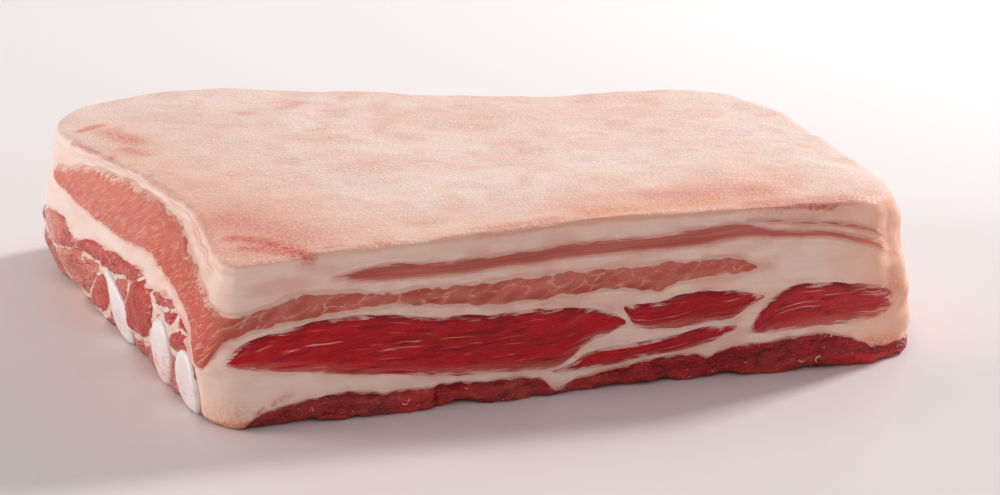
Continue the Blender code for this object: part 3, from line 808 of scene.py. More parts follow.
def sheet_body(name, sheet):
    """A sheet of lean as a closed body that runs past the block."""
    first, last = ends_of(sheet)
    stations = np.linspace(first, last, int((last - first) / STATION_STEP))
    if "left_low" in sheet:
        shares = np.round(np.concatenate([BEFORE, np.arange(0, 1, FINE_SHARE), AFTER]), 5)
        wide = np.concatenate([shares[:4], shares[4:-4:9], shares[-4:]])
        plan = [(share, at) for at in stations[stations < FINE_TO][::2] for share in shares]
        plan += [(share, at) for at in stations[stations >= FINE_TO] for share in wide]
    else:
        plan = [(share, at) for at in stations for share in BEFORE + COARSE + AFTER]
    plan = np.array(plan)
    result = geometry.delaunay_2d_cdt([Vector(q) for q in plan * (BELLY_DEPTH, 1)], [], [], 0, 1e-6)
    triangles = np.array(result[2])
    edges = np.concatenate([triangles[:, [0, 1]], triangles[:, [1, 2]], triangles[:, [2, 0]]])
    _, found, used = np.unique(np.sort(edges, axis=1), axis=0, return_index=True, return_counts=True)
    border = edges[found[used == 1]]
    share, at = plan.T
    x = sheet_place(sheet, at, share)
    y = FRONT_Y + (back_edge(x) - FRONT_Y) * share
    z_low, z_high = sheet_sides(sheet, x, y, at, share)
    n = len(plan)
    a, b = border.T
    walls = np.concatenate([np.column_stack([a, b, b + n]), np.column_stack([a, b + n, a + n])])
    points = np.vstack([np.column_stack([x, y, z_low]), np.column_stack([x, y, z_high])])
    return closed_body(name, points, np.concatenate([triangles[:, ::-1], triangles + n, walls]))


def rib_body(name, rib):
    """A rib end as a closed body, from its dome to its thin end in the meat."""
    (y0, z0), (out, length) = rib[:2], rib[7:]
    start = float(rib_side_x(y0, z0 / SIDE_HEIGHT)) - out
    steps = [(deep / length, scale) for deep, scale in DOME]
    steps += [(t, float(np.interp(t, *zip(*NARROWS)))) for t in np.linspace(0.03, 1.0, 24)]
    rows = []
    for share, scale in steps:
        sunk = min(1.0, share / SUNK_FROM)
        across, up = rib_section(rib, 1 - min(1.0, share / UPRIGHT_TO), scale, FLATTENED * sunk)
        y = y0 + DRIFT * share + BOW * np.sin(np.pi * share) + across
        z = np.maximum(z0 + (SUNK_Z - z0) * sunk + up, 1.0)
        inside = np.clip((share * length - 2.5) / 8, 0, 1)
        x = (rib_side_x(y, z / SIDE_HEIGHT) - out) * (1 - inside) + start * inside + length * share
        rows.append(np.column_stack([x, y, z]))
    points = np.vstack(rows + [rows[0].mean(axis=0)[None], rows[-1].mean(axis=0)[None]])
    i = np.arange(RIB_SIDES)
    j = (i + 1) % RIB_SIDES
    end = (len(rows) - 1) * RIB_SIDES
    caps = [np.column_stack([j, i, np.full(RIB_SIDES, len(points) - 2)]),
            np.column_stack([end + i, end + j, np.full(RIB_SIDES, len(points) - 1)])]
    return closed_body(name, points, np.concatenate([ring_faces(len(rows), RIB_SIDES), *caps]))


bodies = {name: sheet_body("cutter_" + name, sheet) for name, sheet in SHEETS.items()}
ribs = {name: rib_body(name + "_piece", rib) for name, rib in RIBS.items()}
print("cutters of", sum(len(body.data.polygons) for body in bodies.values()), "triangles")


# %% Cut
def cut(name, *steps):
    """A copy of the block after Booleans, as a plain mesh."""
    made = linked(name + "_piece", block_of_meat.data.copy())
    for operation, cutters in steps:
        for cutter in cutters:
            boolean = made.modifiers.new(cutter.name, "BOOLEAN")
            boolean.operation = operation
            boolean.solver = "MANIFOLD"
            boolean.object = cutter
    return plain(made)


pieces = {}
for name, body in bodies.items():
    steps = [("INTERSECT", [body])]
    if name == "inner_muscle":
        steps.append(("DIFFERENCE", list(ribs.values())))
    pieces[name] = cut(name, *steps)
pieces["fat_and_rind"] = cut("fat_and_rind", ("DIFFERENCE", [*bodies.values(), *ribs.values()]))
pieces.update(ribs)
for cutter in [*bodies.values(), block_of_meat]:
    bpy.data.objects.remove(cutter)

# %% [markdown]
# ## Torn bits on the inner muscle
#
# The inner muscle was pulled off the ribs, so short curls of sinew and crumbs of fat cling
# to it, the largest 4 mm long. They could be modelled one by one, but they are many and alike,
# so a second tree scatters one tapered curl over the muscle's cut face: turned at random
# about the way the face looks, 0.4 to 1 of its full size, and half sunk into the meat.

# %% The scattering tree
BITS = {"Per_square_metre": 9000.0, "Bit_length": 0.0042, "Bit_thickness": 0.0004, "Smallest_share": 0.4}
BITS_FROM = 4.0  # mm over the table, so that no bit reaches under the slab
STEEP = 0.5  # the most that a face may look up or down and still get bits
BEND_AT = (0.7, -0.25, 0)  # where a curl's bend and tip lie, as shares of its length
TIP_AT = (0.6, 0.4, 0)
tree, given = new_tree("torn bits", Seed="Int", Low_corner="Vector", **{label: "Float" for label in BITS})
looks = add(tree, "GeometryNodeInputNormal").outputs[0]
looks_up = add(tree, "ShaderNodeSeparateXYZ", {0: looks}).outputs[2]
looks_up = add(tree, "ShaderNodeMath", {0: looks_up}, operation="ABSOLUTE").outputs[0]
where = add(tree, "GeometryNodeInputPosition").outputs[0]
inwards, above = add(tree, "ShaderNodeSeparateXYZ", {0: where}).outputs[1:]
chosen = add(tree, "FunctionNodeCompare", {0: looks_up, 1: STEEP}, operation="LESS_THAN").outputs[0]
for value, limit, kind in ((above, BITS_FROM * MM, "GREATER_THAN"), (inwards, 0.0, "LESS_THAN")):
    also = add(tree, "FunctionNodeCompare", {0: value, 1: limit}, operation=kind).outputs[0]
    chosen = add(tree, "FunctionNodeBooleanMath", {0: chosen, 1: also}, operation="AND").outputs[0]
points = add(tree, "GeometryNodeDistributePointsOnFaces",
             {"Mesh": given.outputs["Geometry"], "Selection": chosen, "Seed": given.outputs["Seed"],
              "Density": given.outputs["Per square metre"]}, distribute_method="RANDOM").outputs
bend, tip = (add(tree, "ShaderNodeVectorMath", {0: share, "Scale": given.outputs["Bit length"]},
                 operation="SCALE").outputs[0] for share in (BEND_AT, TIP_AT))
curl = add(tree, "GeometryNodeCurveQuadraticBezier",
           {"Resolution": 8, "Start": (0, 0, 0), "Middle": bend, "End": tip}).outputs[0]
walked = add(tree, "GeometryNodeSplineParameter").outputs["Factor"]
taper = add(tree, "ShaderNodeMapRange", {0: walked, 3: 1.0, 4: 0.25}).outputs[0]
curl = add(tree, "GeometryNodeSetCurveRadius", {0: curl, "Radius": taper}).outputs[0]
section = add(tree, "GeometryNodeCurvePrimitiveCircle",
              {"Resolution": 7, "Radius": given.outputs["Bit thickness"]}).outputs[0]
bit = add(tree, "GeometryNodeCurveToMesh",
          {"Curve": curl, "Profile Curve": section, "Scale": taper, "Fill Caps": True}).outputs[0]
spin = add(tree, "FunctionNodeRandomValue", {"Min": (0, 0, 0), "Max": (0, 0, math.tau), "Seed": 3},
           data_type="FLOAT_VECTOR").outputs[0]
turned = add(tree, "FunctionNodeRotateRotation", {0: points["Rotation"], 1: spin},
             rotation_space="LOCAL").outputs[0]
full = add(tree, "FunctionNodeRandomValue",
           {2: given.outputs["Smallest share"], 3: 1.0, "Seed": 4}).outputs[1]
scattered = add(tree, "GeometryNodeInstanceOnPoints",
                {"Points": points["Points"], "Instance": bit, "Rotation": turned, "Scale": full}).outputs[0]
realized = add(tree, "GeometryNodeRealizeInstances", {0: scattered}).outputs[0]
where = add(tree, "GeometryNodeInputPosition").outputs[0]
kept_in = add(tree, "ShaderNodeVectorMath", {0: where, 1: given.outputs["Low corner"]},
              operation="MAXIMUM").outputs[0]
shaped = add(tree, "GeometryNodeSetPosition", {0: realized, "Position": kept_in}).outputs[0]
ended = add(tree, "GeometryNodeSetMaterial", {0: shaped}).outputs[0]
add(tree, "NodeGroupOutput", {0: ended})
pieces["sinew_bits"] = grown(pieces["inner_muscle"], "sinew_bits_piece", tree,
                             Seed=5, Low_corner=low, **BITS)


def open_edges(mesh):
    """Edges that don't have just two faces."""
    ends = np.empty(len(mesh.loops), np.int32)
    mesh.loops.foreach_get("edge_index", ends)
    return int((np.bincount(ends, minlength=len(mesh.edges)) != 2).sum())


for name, piece in pieces.items():
    triangles = sum(len(face.vertices) - 2 for face in piece.data.polygons)
    print(f"{name:18} {triangles:7} triangles, {open_edges(piece.data)} open edges")

# %% [markdown]
# ## What each surface knows
#
# A pattern on plain coordinates would run straight through the bending layers. So each
# point of each piece keeps a few numbers in millimetres: "flow" is its place along, into and
# across its own layer, "border" its distance to the nearest lean border, and "place" says
# how far it is on the rib side, how far it faces up, and how deep under the rind it is.
# The fat also keeps where blood and fat have stained it, and the inner muscle its bundles.

# %% Stains
STAINS = [  # from x, y, z to x, y, z, half width in mm, redness, orangeness
    (13, 24, 59, 31, -4, 60, 3.6, 1.0, 0.0), (14, 9, 59, 33, -7, 59, 2.4, 0.9, 0.0),
    (16, 45, 59, 35, 12, 60, 10, 0.4, 0.0), (38, -3, 60.4, 45, -3, 60.6, 0.6, 1.0, 0.0),
    (58, -5, 61, 59, -5, 61, 0.6, 1.0, 0.0), (69, -10, 56.7, 70, -10, 56.7, 0.8, 1.0, 0.0),
    (72, -9, 58.3, 78, -8, 60, 0.7, 0.7, 0.3), (58, 43, 61, 58, 44, 61, 0.8, 0.0, 1.0),
    (-11, 177, 60, -3, 183, 60, 2.6, 0.7, 0.6), (-2, 170, 60, 5, 154, 60, 5, 0.5, 0.1),
    (1, 145, 60, 5, 137, 60, 3.5, 0.55, 0.0), (71, 184, 60, 80, 189, 60, 4, 0.4, 0.0),
    (53, 180, 61, 57, 179, 61, 3, 0.35, 0.0), (49, 169, 61, 49, 170, 61, 0.9, 0.0, 1.0),
    (101, -7, 61, 121, -7, 62, 1.0, 1.0, 0.0), (96, -2, 61, 124, -2, 62, 3.5, 0.4, 0.0),
    (204, -10, 61.5, 226, -11, 60.5, 1.2, 1.0, 0.0), (198, -4, 62, 230, -6, 62, 5, 0.5, 0.0),
    (138, 1, 63, 184, 4, 62.6, 6, 0.0, 0.6), (165, 20, 62, 205, 12, 62, 9, 0.3, 0.1),
    (-17, 166, 58, -10, 145, 59, 0.9, 0.6, 0.0), (-7, 137, 59, -7, 135, 59, 0.9, 0.8, 0.0),
    (3, 114, 59, 2, 107, 59, 0.9, 0.7, 0.0), (199, -13, 37, 199, -13, 38, 0.9, 0.6, 0.0),
    (201, -12, 41, 201, -12, 42, 0.7, 0.6, 0.0), (203, -12, 44, 204, -12, 44, 0.7, 0.6, 0.0),
    (7, -10, 1.5, 10, -11, 2.6, 1.0, 0.9, 0.0), (12, -11, 5.8, 15, -11, 7.8, 1.1, 0.7, 0.0),
    (18, -11, 9.3, 25, -12, 11.5, 1.1, 0.6, 0.0), (-6, 12, 1, 3, -7, 1, 2.4, 0.5, 0.9),
    (-8.5, 29, 2, -8, 33, 9, 1.2, 0.7, 0.7), (246, -13, 52, 256, -8, 44, 5, 0.1, 0.3),
    (250, -12, 30, 258, -6, 20, 5, 0.15, 0.25), (240, -14, 8, 252, -10, 6, 3, 0.45, 0.2),
    (4, -10, 0.5, 26, -12, 1.5, 3.0, 0.7, 0.8), (-6, 20, 3, -9, 27, 3, 1.4, 0.9, 0.5),
    (-5, 8, 4, 6, -9, 6, 5, 0.12, 0.25), (16, 22, 60, 24, 8, 60, 1.2, 1.0, 0.0),
]


def stains_at(p):
    """Redness and orangeness where each point lies."""
    red = np.zeros(len(p))
    orange = np.zeros(len(p))
    for x0, y0, z0, x1, y1, z1, half, redness, orangeness in STAINS:
        start = np.array([x0, y0, z0], float)
        along = np.array([x1, y1, z1]) - start
        t = np.clip((p - start) @ along / (along @ along), 0, 1)
        away = np.linalg.norm(p - start - t[:, None] * along, axis=1)
        strength = np.exp(-((away / half) ** 2))
        red = np.maximum(red, redness * strength)
        orange = np.maximum(orange, orangeness * strength)
    return red, orange


# %% Keep the numbers on the pieces
RIB_STAINS = {"rib_1": 0.25, "rib_2": 1.0, "rib_3": 0.45}


def points_of(mesh):
    """A mesh's points in the slab's own millimetres."""
    flat = np.empty(len(mesh.vertices) * 3, np.float32)
    mesh.vertices.foreach_get("co", flat)
    return flat.reshape(-1, 3).astype(float) / MM + SHIFT


def facing(mesh):
    """The way each point of a mesh faces."""
    flat = np.empty(len(mesh.vertices) * 3, np.float32)
    mesh.vertices.foreach_get("normal", flat)
    return flat.reshape(-1, 3)


for name, piece in pieces.items():
    mesh = piece.data
    if name == "sinew_bits":
        continue
    p = points_of(mesh)
    if name in RIBS:
        keep(mesh, "stain", RIB_STAINS[name] * smooth(22, 2, p[:, 2]))
        continue
    below = height(p[:, 0], p[:, 1]) - p[:, 2]
    faces_way = facing(mesh)
    side = smooth(3, -3, p[:, 0]) * smooth(-8, -4, p[:, 1])
    if name not in SHEETS:
        side = np.maximum(side, smooth(-0.3, -0.6, faces_way[:, 0]) * smooth(-8, -2, p[:, 1]))
    keep(mesh, "place", np.column_stack([side, smooth(0.5, 0.85, faces_way[:, 2]), below]))
    if name in SHEETS:
        station, over, border = in_sheet(SHEETS[name], p)
        keep(mesh, "flow", np.column_stack([station, p[:, 1], over]))
        keep(mesh, "border", border)
    else:
        reach = {sheet: in_sheet(SHEETS[sheet], p)[2] for sheet in SHEETS}
        keep(mesh, "flow", np.column_stack([p[:, 0], p[:, 1], 60 * p[:, 2] / height(p[:, 0], p[:, 1])]))
        keep(mesh, "border", -np.max(list(reach.values()), axis=0))
        to_red = -np.max([reach[sheet] for sheet in RED], axis=0)
        keep(mesh, "marks", np.column_stack([*stains_at(p), to_red]))
    if name == "inner_muscle":
        keep(mesh, "bundle", np.column_stack(in_bundles(p)))
print("kept:", sorted({a.name for piece in pieces.values() for a in piece.data.attributes}))

# %% [markdown]
# ## How the finishes are made
#
# Each material is raw pork in one of its forms, so they share a way of working: start
# from a plain colour and lay thinner and thinner coats of others over it, each shown through a
# pattern whose grains are stated in millimetres. Raw meat and fat let light in, so
# all of them scatter it under the surface, and a film of moisture gives the gloss.

# %% Colours, patterns and coats
def shade(code):
    """A colour written in sRGB hex, turned to linear."""
    parts = [int(code[i:i + 2], 16) / 255 for i in (1, 3, 5)]
    return (*(c / 12.92 if c <= 0.04045 else ((c + 0.055) / 1.055) ** 2.4 for c in parts), 1.0)


def place_in_mm(tree):
    """Where a point of a piece without its own numbers lies."""
    where = add(tree, "ShaderNodeTexCoord").outputs["Object"]
    return add(tree, "ShaderNodeMapping", {0: where, "Scale": [1 / MM] * 3}).outputs[0]


def parts_of(tree, name):
    """The three numbers that a piece keeps under a name."""
    kept = add(tree, "ShaderNodeAttribute", attribute_name=name)
    return add(tree, "ShaderNodeSeparateXYZ", {0: kept.outputs["Vector"]}).outputs


def between(tree, value, start, end, most=1.0):
    """0 where a value is at start, rising softly to most at end."""
    return add(tree, "ShaderNodeMapRange", {0: value, 1: start, 2: end, 4: most},
               interpolation_type="SMOOTHSTEP").outputs[0]


def placed(tree, where, size, turn=0.0, lean=0.0):
    """Coordinates counted in grains of a size in mm, leaned up along x by turn and along y by lean."""
    angles = (math.radians(lean), math.radians(turn), 0)
    turned = add(tree, "ShaderNodeMapping", {0: where, "Rotation": angles}).outputs[0]
    return add(tree, "ShaderNodeMapping", {0: turned, "Scale": [1 / s for s in size]}).outputs[0]


def pattern(tree, where, size, start, end, most=1.0, turn=0.0, lean=0.0, detail=2.0):
    """Noise with grains of a size in mm, read from start to end."""
    grains = placed(tree, where, size, turn, lean)
    field = add(tree, "ShaderNodeTexNoise", {"Vector": grains, "Scale": 1.0, "Detail": detail})
    return between(tree, field.outputs[0], start, end, most)


def cells(tree, where, size, start, end, turn=0.0, kind="DISTANCE_TO_EDGE"):
    """Wavering cells of a size in mm; the distance to their edges or middles, read from start to end."""
    plain = placed(tree, where, size, turn)
    wander = add(tree, "ShaderNodeTexNoise", {"Vector": plain, "Scale": 1.7, "Detail": 2.0})
    bent = add(tree, "ShaderNodeVectorMath", {0: wander.outputs[1], 1: (0.5, 0.5, 0.5), 2: plain},
               operation="MULTIPLY_ADD")
    field = add(tree, "ShaderNodeTexVoronoi", {"Vector": bent.outputs[0], "Scale": 1.0}, feature=kind)
    return between(tree, field.outputs[0], start, end)


def both(tree, *factors):
    """The product of factors."""
    total = factors[0]
    for factor in factors[1:]:
        total = add(tree, "ShaderNodeMath", {0: total, 1: factor}, operation="MULTIPLY").outputs[0]
    return total


def coats(tree, colour, *layers):
    """Lays coats over a colour; each is one or more factors, multiplied, and its own colour."""
    for *factors, over in layers:
        over = shade(over) if isinstance(over, str) else over
        blend = add(tree, "ShaderNodeMix", {0: both(tree, *factors), 6: colour, 7: over}, data_type="RGBA")
        colour = blend.outputs[2]
    return colour


def ragged(tree, border, teeth, reach, soft=0.5):
    """1 within a border that teeth push to and fro by up to reach mm, fading over soft mm."""
    pushed = add(tree, "ShaderNodeMath", {0: teeth, 1: -reach, 2: border}, operation="MULTIPLY_ADD")
    return between(tree, pushed.outputs[0], soft, 0.0)


def clear_inside(tree, border, most):
    """How far light goes in, in metres: hardly at all where another piece begins."""
    return add(tree, "ShaderNodeMapRange", {0: border, 1: 0.2, 2: 3.5, 3: 0.0001, 4: most}).outputs[0]


def relief(tree, height_mm, *layers):
    """A bump of stated height; each layer is one or more factors and its share of the height."""
    total = 0.0
    for *factors, share in layers:
        total = add(tree, "ShaderNodeMath", {0: both(tree, *factors), 1: share, 2: total},
                    operation="MULTIPLY_ADD").outputs[0]
    return add(tree, "ShaderNodeBump", {"Height": total, "Distance": height_mm * MM}).outputs[0]


def finish_of(name, paint, **sockets):
    """A Principled material with set sockets; paint(tree) gives what is linked to the others."""
    made = bpy.data.materials.new(name)
    made.use_nodes = True
    shader = made.node_tree.nodes["Principled BSDF"]
    for socket, value in sockets.items():
        shader.inputs[socket.replace("_", " ")].default_value = value
    for socket, source in paint(made.node_tree).items():
        made.node_tree.links.new(source, shader.inputs[socket])
    print(name, "-", len(made.node_tree.nodes), "nodes")
    return made


# %% [markdown]
# ## Back fat under its rind
#
# Pork back fat is firm, cream to pale pink, with faint lines where its layers were laid
# down and a blush where lean is near. Over it lies the rind: scalded and scraped skin, dry
# peach pink, with a grain of hair follicles 1 to 2 mm apart. At the cut the rind's own edge
# shows as a tan, slightly clear band. Fat and rind are one piece, so one material
# changes from the one to the other by the depth under the surface and the way it faces.

# %% Fat and rind
RIND_THICK = 2.2  # mm
GRAIN = 1.5  # mm between follicles


def fat_and_rind(tree):
    flow = add(tree, "ShaderNodeAttribute", attribute_name="flow").outputs["Vector"]
    gap = add(tree, "ShaderNodeAttribute", attribute_name="border").outputs["Fac"]
    along, deep = parts_of(tree, "flow")[:2]
    side, upright, below = parts_of(tree, "place")
    red, orange, to_red = parts_of(tree, "marks")
    lines = pattern(tree, flow, (45, 45, 1.3), 0.48, 0.7, 0.28, detail=3)
    soft_blots = pattern(tree, flow, (14, 14, 7), 0.42, 0.68, 0.7)
    pink_blots = pattern(tree, flow, (22, 22, 9), 0.5, 0.7, 0.6)
    blush = both(tree, between(tree, gap, 3.0, 0.0), pattern(tree, flow, (9, 7, 2.5), 0.4, 0.72, 0.6))
    membrane = both(tree, between(tree, to_red, 1.1, 0.2), between(tree, side, 0.5, 0.0),
                    pattern(tree, flow, (16, 16, 6), 0.4, 0.6, 0.7))
    # Painted glow: the thin right end of the front cut is painted paler and more orange, as if the light
    # behind shone through it.
    painted_glow_right_end = both(tree, between(tree, along, 214, 250), between(tree, deep, 70, 15))
    fat = coats(tree, shade("#f6d9cb"),
                (lines, "#e6bdac"), (soft_blots, "#f0cbbc"), (pink_blots, "#e8b5a3"), (blush, "#dd9f8f"),
                (membrane, "#f0e2e4"), (between(tree, gap, 0.8, 0.0, 0.55), "#e4ab9b"),
                (painted_glow_right_end, 0.7, "#ffbb9f"),
                # Painted light: the fat of the rib side is painted paler, more so further back, as that side
                # faces the light at the left.
                (side, between(tree, deep, 20, 120, 0.5), "#fdeee8"),
                (between(tree, along, 70, 10), between(tree, below, 30, 50, 0.5), "#fbe4d6"))

    # Two thin sheets of lean in the fat of the rib side, at shares of the way from rind to lean.
    strip = add(tree, "ShaderNodeMath", {0: gap, 1: below}, operation="ADD").outputs[0]
    part_way = add(tree, "ShaderNodeMath", {0: below, 1: strip}, operation="DIVIDE").outputs[0]
    wavy = add(tree, "ShaderNodeMath", {0: pattern(tree, flow, (20, 14, 20), 0.3, 0.7), 1: 0.14, 2: part_way},
               operation="MULTIPLY_ADD").outputs[0]
    upper_strip = both(tree, side, between(tree, below, 20, 14), between(tree, deep, 172, 140),
                       between(tree, deep, 2, 18))
    for middle, half, strength in ((0.47, 0.05, 0.75), (0.62, 0.04, 0.55)):
        rises = between(tree, wavy, middle - half, middle)
        falls = between(tree, wavy, middle + half, middle)
        fat = coats(tree, fat, (rises, falls, upper_strip, strength, "#d39383"))

    edge_noise = pattern(tree, flow, (14, 14, 14), 0.3, 0.7)
    thick = add(tree, "ShaderNodeMath", {0: edge_noise, 1: 0.9, 2: below},
                operation="MULTIPLY_ADD").outputs[0]
    edge_band = both(tree, between(tree, thick, RIND_THICK + 1.2, RIND_THICK - 0.3),
                     between(tree, along, -20, 150, 0.8))
    fat = coats(tree, fat, (edge_band, "#e6b197"))
    broad = pattern(tree, flow, (42, 42, 42), 0.4, 0.62, detail=3)
    patches = pattern(tree, flow, (11, 11, 11), 0.46, 0.72, 0.6, detail=3)
    flush = between(tree, deep, 50, -8, 0.85)
    left_flush = both(tree, between(tree, along, 90, 5), between(tree, deep, 190, 10, 0.9))
    pores = cells(tree, flow, (GRAIN, GRAIN, GRAIN), 0.55, 0.1, kind="F1")
    mealy = pattern(tree, flow, (0.8, 0.8, 0.8), 0.35, 0.7, detail=3)
    creases = pattern(tree, flow, (9, 1.6, 3), 0.42, 0.62, detail=3)
    speck = pattern(tree, flow, (1.3, 1.3, 1.3), 0.35, 0.65)
    rind = coats(tree, shade("#fce4d8"),
                 (broad, 0.8, "#f6cfbf"), (patches, "#efbaa8"), (flush, broad, "#eda892"),
                 (flush, 0.7, "#f0bba6"), (left_flush, "#efae99"),
                 (mealy, 0.5, "#e9b29c"), (pores, 0.45, "#fff2e8"))
    both_sides = coats(tree, fat, (upright, rind),
                       (red, speck, "#c94a42"), (red, 0.6, "#dc6d60"),
                       (orange, speck, "#e08a48"), (orange, 0.45, "#f09b6a"))
    on_rind = between(tree, upright, 0.0, 1.0)
    let_in = add(tree, "ShaderNodeMapRange", {0: gap, 1: 0.3, 2: 4, 3: 0.0002, 4: 0.0015}).outputs[0]
    return {"Base Color": both_sides, "Subsurface Scale": let_in,
            "Roughness": add(tree, "ShaderNodeMapRange", {0: mealy, 3: 0.36, 4: 0.55}).outputs[0],
            "Normal": relief(tree, 0.24, (pores, on_rind, 0.8), (mealy, on_rind, 0.6),
                             (creases, on_rind, 0.9), (lines, 0.3), (soft_blots, 0.8))}


rind_and_fat = finish_of("raw pork fat with its rind", fat_and_rind, IOR=1.44, Specular_IOR_Level=0.3,
                         Subsurface_Weight=0.6, Subsurface_Radius=(1.0, 0.55, 0.42))

# %% [markdown]
# ## Pale lean
#
# The two upper muscles and the wide pale one worked little, so they are brownish pink. On the
# front cut the knife crossed the fibres of the pale one: its bundles show as scales 5 to 8
# mm long with thin fat between them. On the rib side it ran along them and shows strokes.

# %% Pale muscle and skin muscles
def pale_lean(tree):
    flow = add(tree, "ShaderNodeAttribute", attribute_name="flow").outputs["Vector"]
    border = add(tree, "ShaderNodeAttribute", attribute_name="border").outputs["Fac"]
    deep, over = parts_of(tree, "flow")[1:]
    side = parts_of(tree, "place")[0]
    front = between(tree, side, 1.0, 0.0)
    cloud = pattern(tree, flow, (24, 30, 8), 0.35, 0.65)
    scales = cells(tree, flow, (8.5, 14, 3.4), 0.2, 0.75, turn=20, kind="F1")
    seams = cells(tree, flow, (8.5, 14, 3.4), 0.08, 0.0, turn=20)
    shown = pattern(tree, flow, (6, 12, 3), 0.47, 0.64)
    grain = pattern(tree, flow, (0.9, 1.2, 0.45), 0.35, 0.7, detail=3)
    front_colour = coats(tree, shade("#d36b5c"),
                         (cloud, "#c05849"), (scales, 0.6, "#dd8b79"), (grain, 0.35, "#b25143"),
                         (seams, shown, 0.6, "#eebfad"))
    strokes = pattern(tree, flow, (4, 0.9, 5), 0.48, 0.66, lean=-58, detail=3)
    dark_strokes = pattern(tree, flow, (4, 1.6, 8), 0.5, 0.7, lean=-52)
    near_front = both(tree, between(tree, deep, 125, 35), 0.9)
    # The rib side is painted lighter than the front: partly the muscle's own colour along its fibres, partly
    # painted light, as that side faces the light at the left.
    side_colour_with_painted_light = coats(tree, shade("#e38a7b"),
                        (near_front, "#cf523b"), (cloud, 0.4, "#c96352"),
                        (dark_strokes, 0.45, "#bd5343"), (strokes, 0.6, "#f4b5a4"))
    lobes = cells(tree, flow, (5.5, 9, 3.6), 0.15, 0.7, kind="F1")
    fringe = pattern(tree, flow, (4, 0.9, 4), 0.35, 0.65, lean=-50)
    upper = between(tree, over, -1.0, 1.5)
    waves = both(tree, fringe, add(tree, "ShaderNodeMapRange", {0: upper, 3: 0.2, 4: 1.0}).outputs[0])
    # Painted highlights: small pale glints laid into the colour.
    painted_glints = pattern(tree, flow, (1.1, 2.4, 0.5), 0.68, 0.76)
    colour = coats(tree, front_colour,
                   (side, side_colour_with_painted_light), (painted_glints, 0.4, "#f2cdbf"),
                   (ragged(tree, border, lobes, 0.9, 0.55), front, "#e7beb0"),
                   (ragged(tree, border, waves, 2.8, 0.6), side, "#f2cabb"))
    return {"Base Color": colour, "Subsurface Scale": clear_inside(tree, border, 0.002),
            "Roughness": add(tree, "ShaderNodeMapRange", {0: grain, 3: 0.28, 4: 0.46}).outputs[0],
            "Normal": relief(tree, 0.4, (grain, 0.25), (scales, front, -0.7), (side, strokes, 0.4))}


def skin_lean(tree):
    flow = add(tree, "ShaderNodeAttribute", attribute_name="flow").outputs["Vector"]
    border = add(tree, "ShaderNodeAttribute", attribute_name="border").outputs["Fac"]
    along, _, over = parts_of(tree, "flow")
    low_edge = both(tree, between(tree, border, 2.2, 0.3), between(tree, over, 0.5, -1.0))
    cloud = pattern(tree, flow, (30, 40, 3), 0.35, 0.65)
    strands = pattern(tree, flow, (22, 30, 0.55), 0.4, 0.68, detail=3)
    threads = pattern(tree, flow, (26, 30, 0.35), 0.58, 0.72, detail=2)
    teeth = pattern(tree, flow, (7, 9, 0.5), 0.3, 0.7, detail=2)
    # Painted glow: the right end of the skin muscles is painted orange, as if the light behind shone through
    # it.
    painted_rim_glow = between(tree, along, 222, 246)
    colour = coats(tree, shade("#c96a5f"),
                   (cloud, "#bb5a50"), (low_edge, "#dd9384"), (strands, 0.35, "#d78a7c"),
                   (threads, 0.3, "#e8b3a4"),
                   (painted_rim_glow, 0.7, "#f0946f"),
                   (ragged(tree, border, teeth, 0.7, 0.6), "#e6b3a4"))
    return {"Base Color": colour, "Subsurface Scale": clear_inside(tree, border, 0.002),
            "Roughness": add(tree, "ShaderNodeMapRange", {0: strands, 3: 0.32, 4: 0.5}).outputs[0],
            "Normal": relief(tree, 0.2, (strands, 0.6), (threads, 0.4))}


LEAN = {"IOR": 1.4, "Specular_IOR_Level": 0.25, "Subsurface_Weight": 0.35,
        "Subsurface_Radius": (1.0, 0.3, 0.2)}
pale = finish_of("raw pale pork lean", pale_lean, **LEAN)
skin = finish_of("raw pork skin muscle", skin_lean, **LEAN)

# %% [markdown]
# ## Deep red lean
#
# The middle muscles work with every breath, so they are deep red. They were cut along their
# fibres, so everything in them is drawn out sideways: darker and brighter strands, and white
# streaks of marbling 10 to 30 mm long and under 1 mm high that come in from the ends.

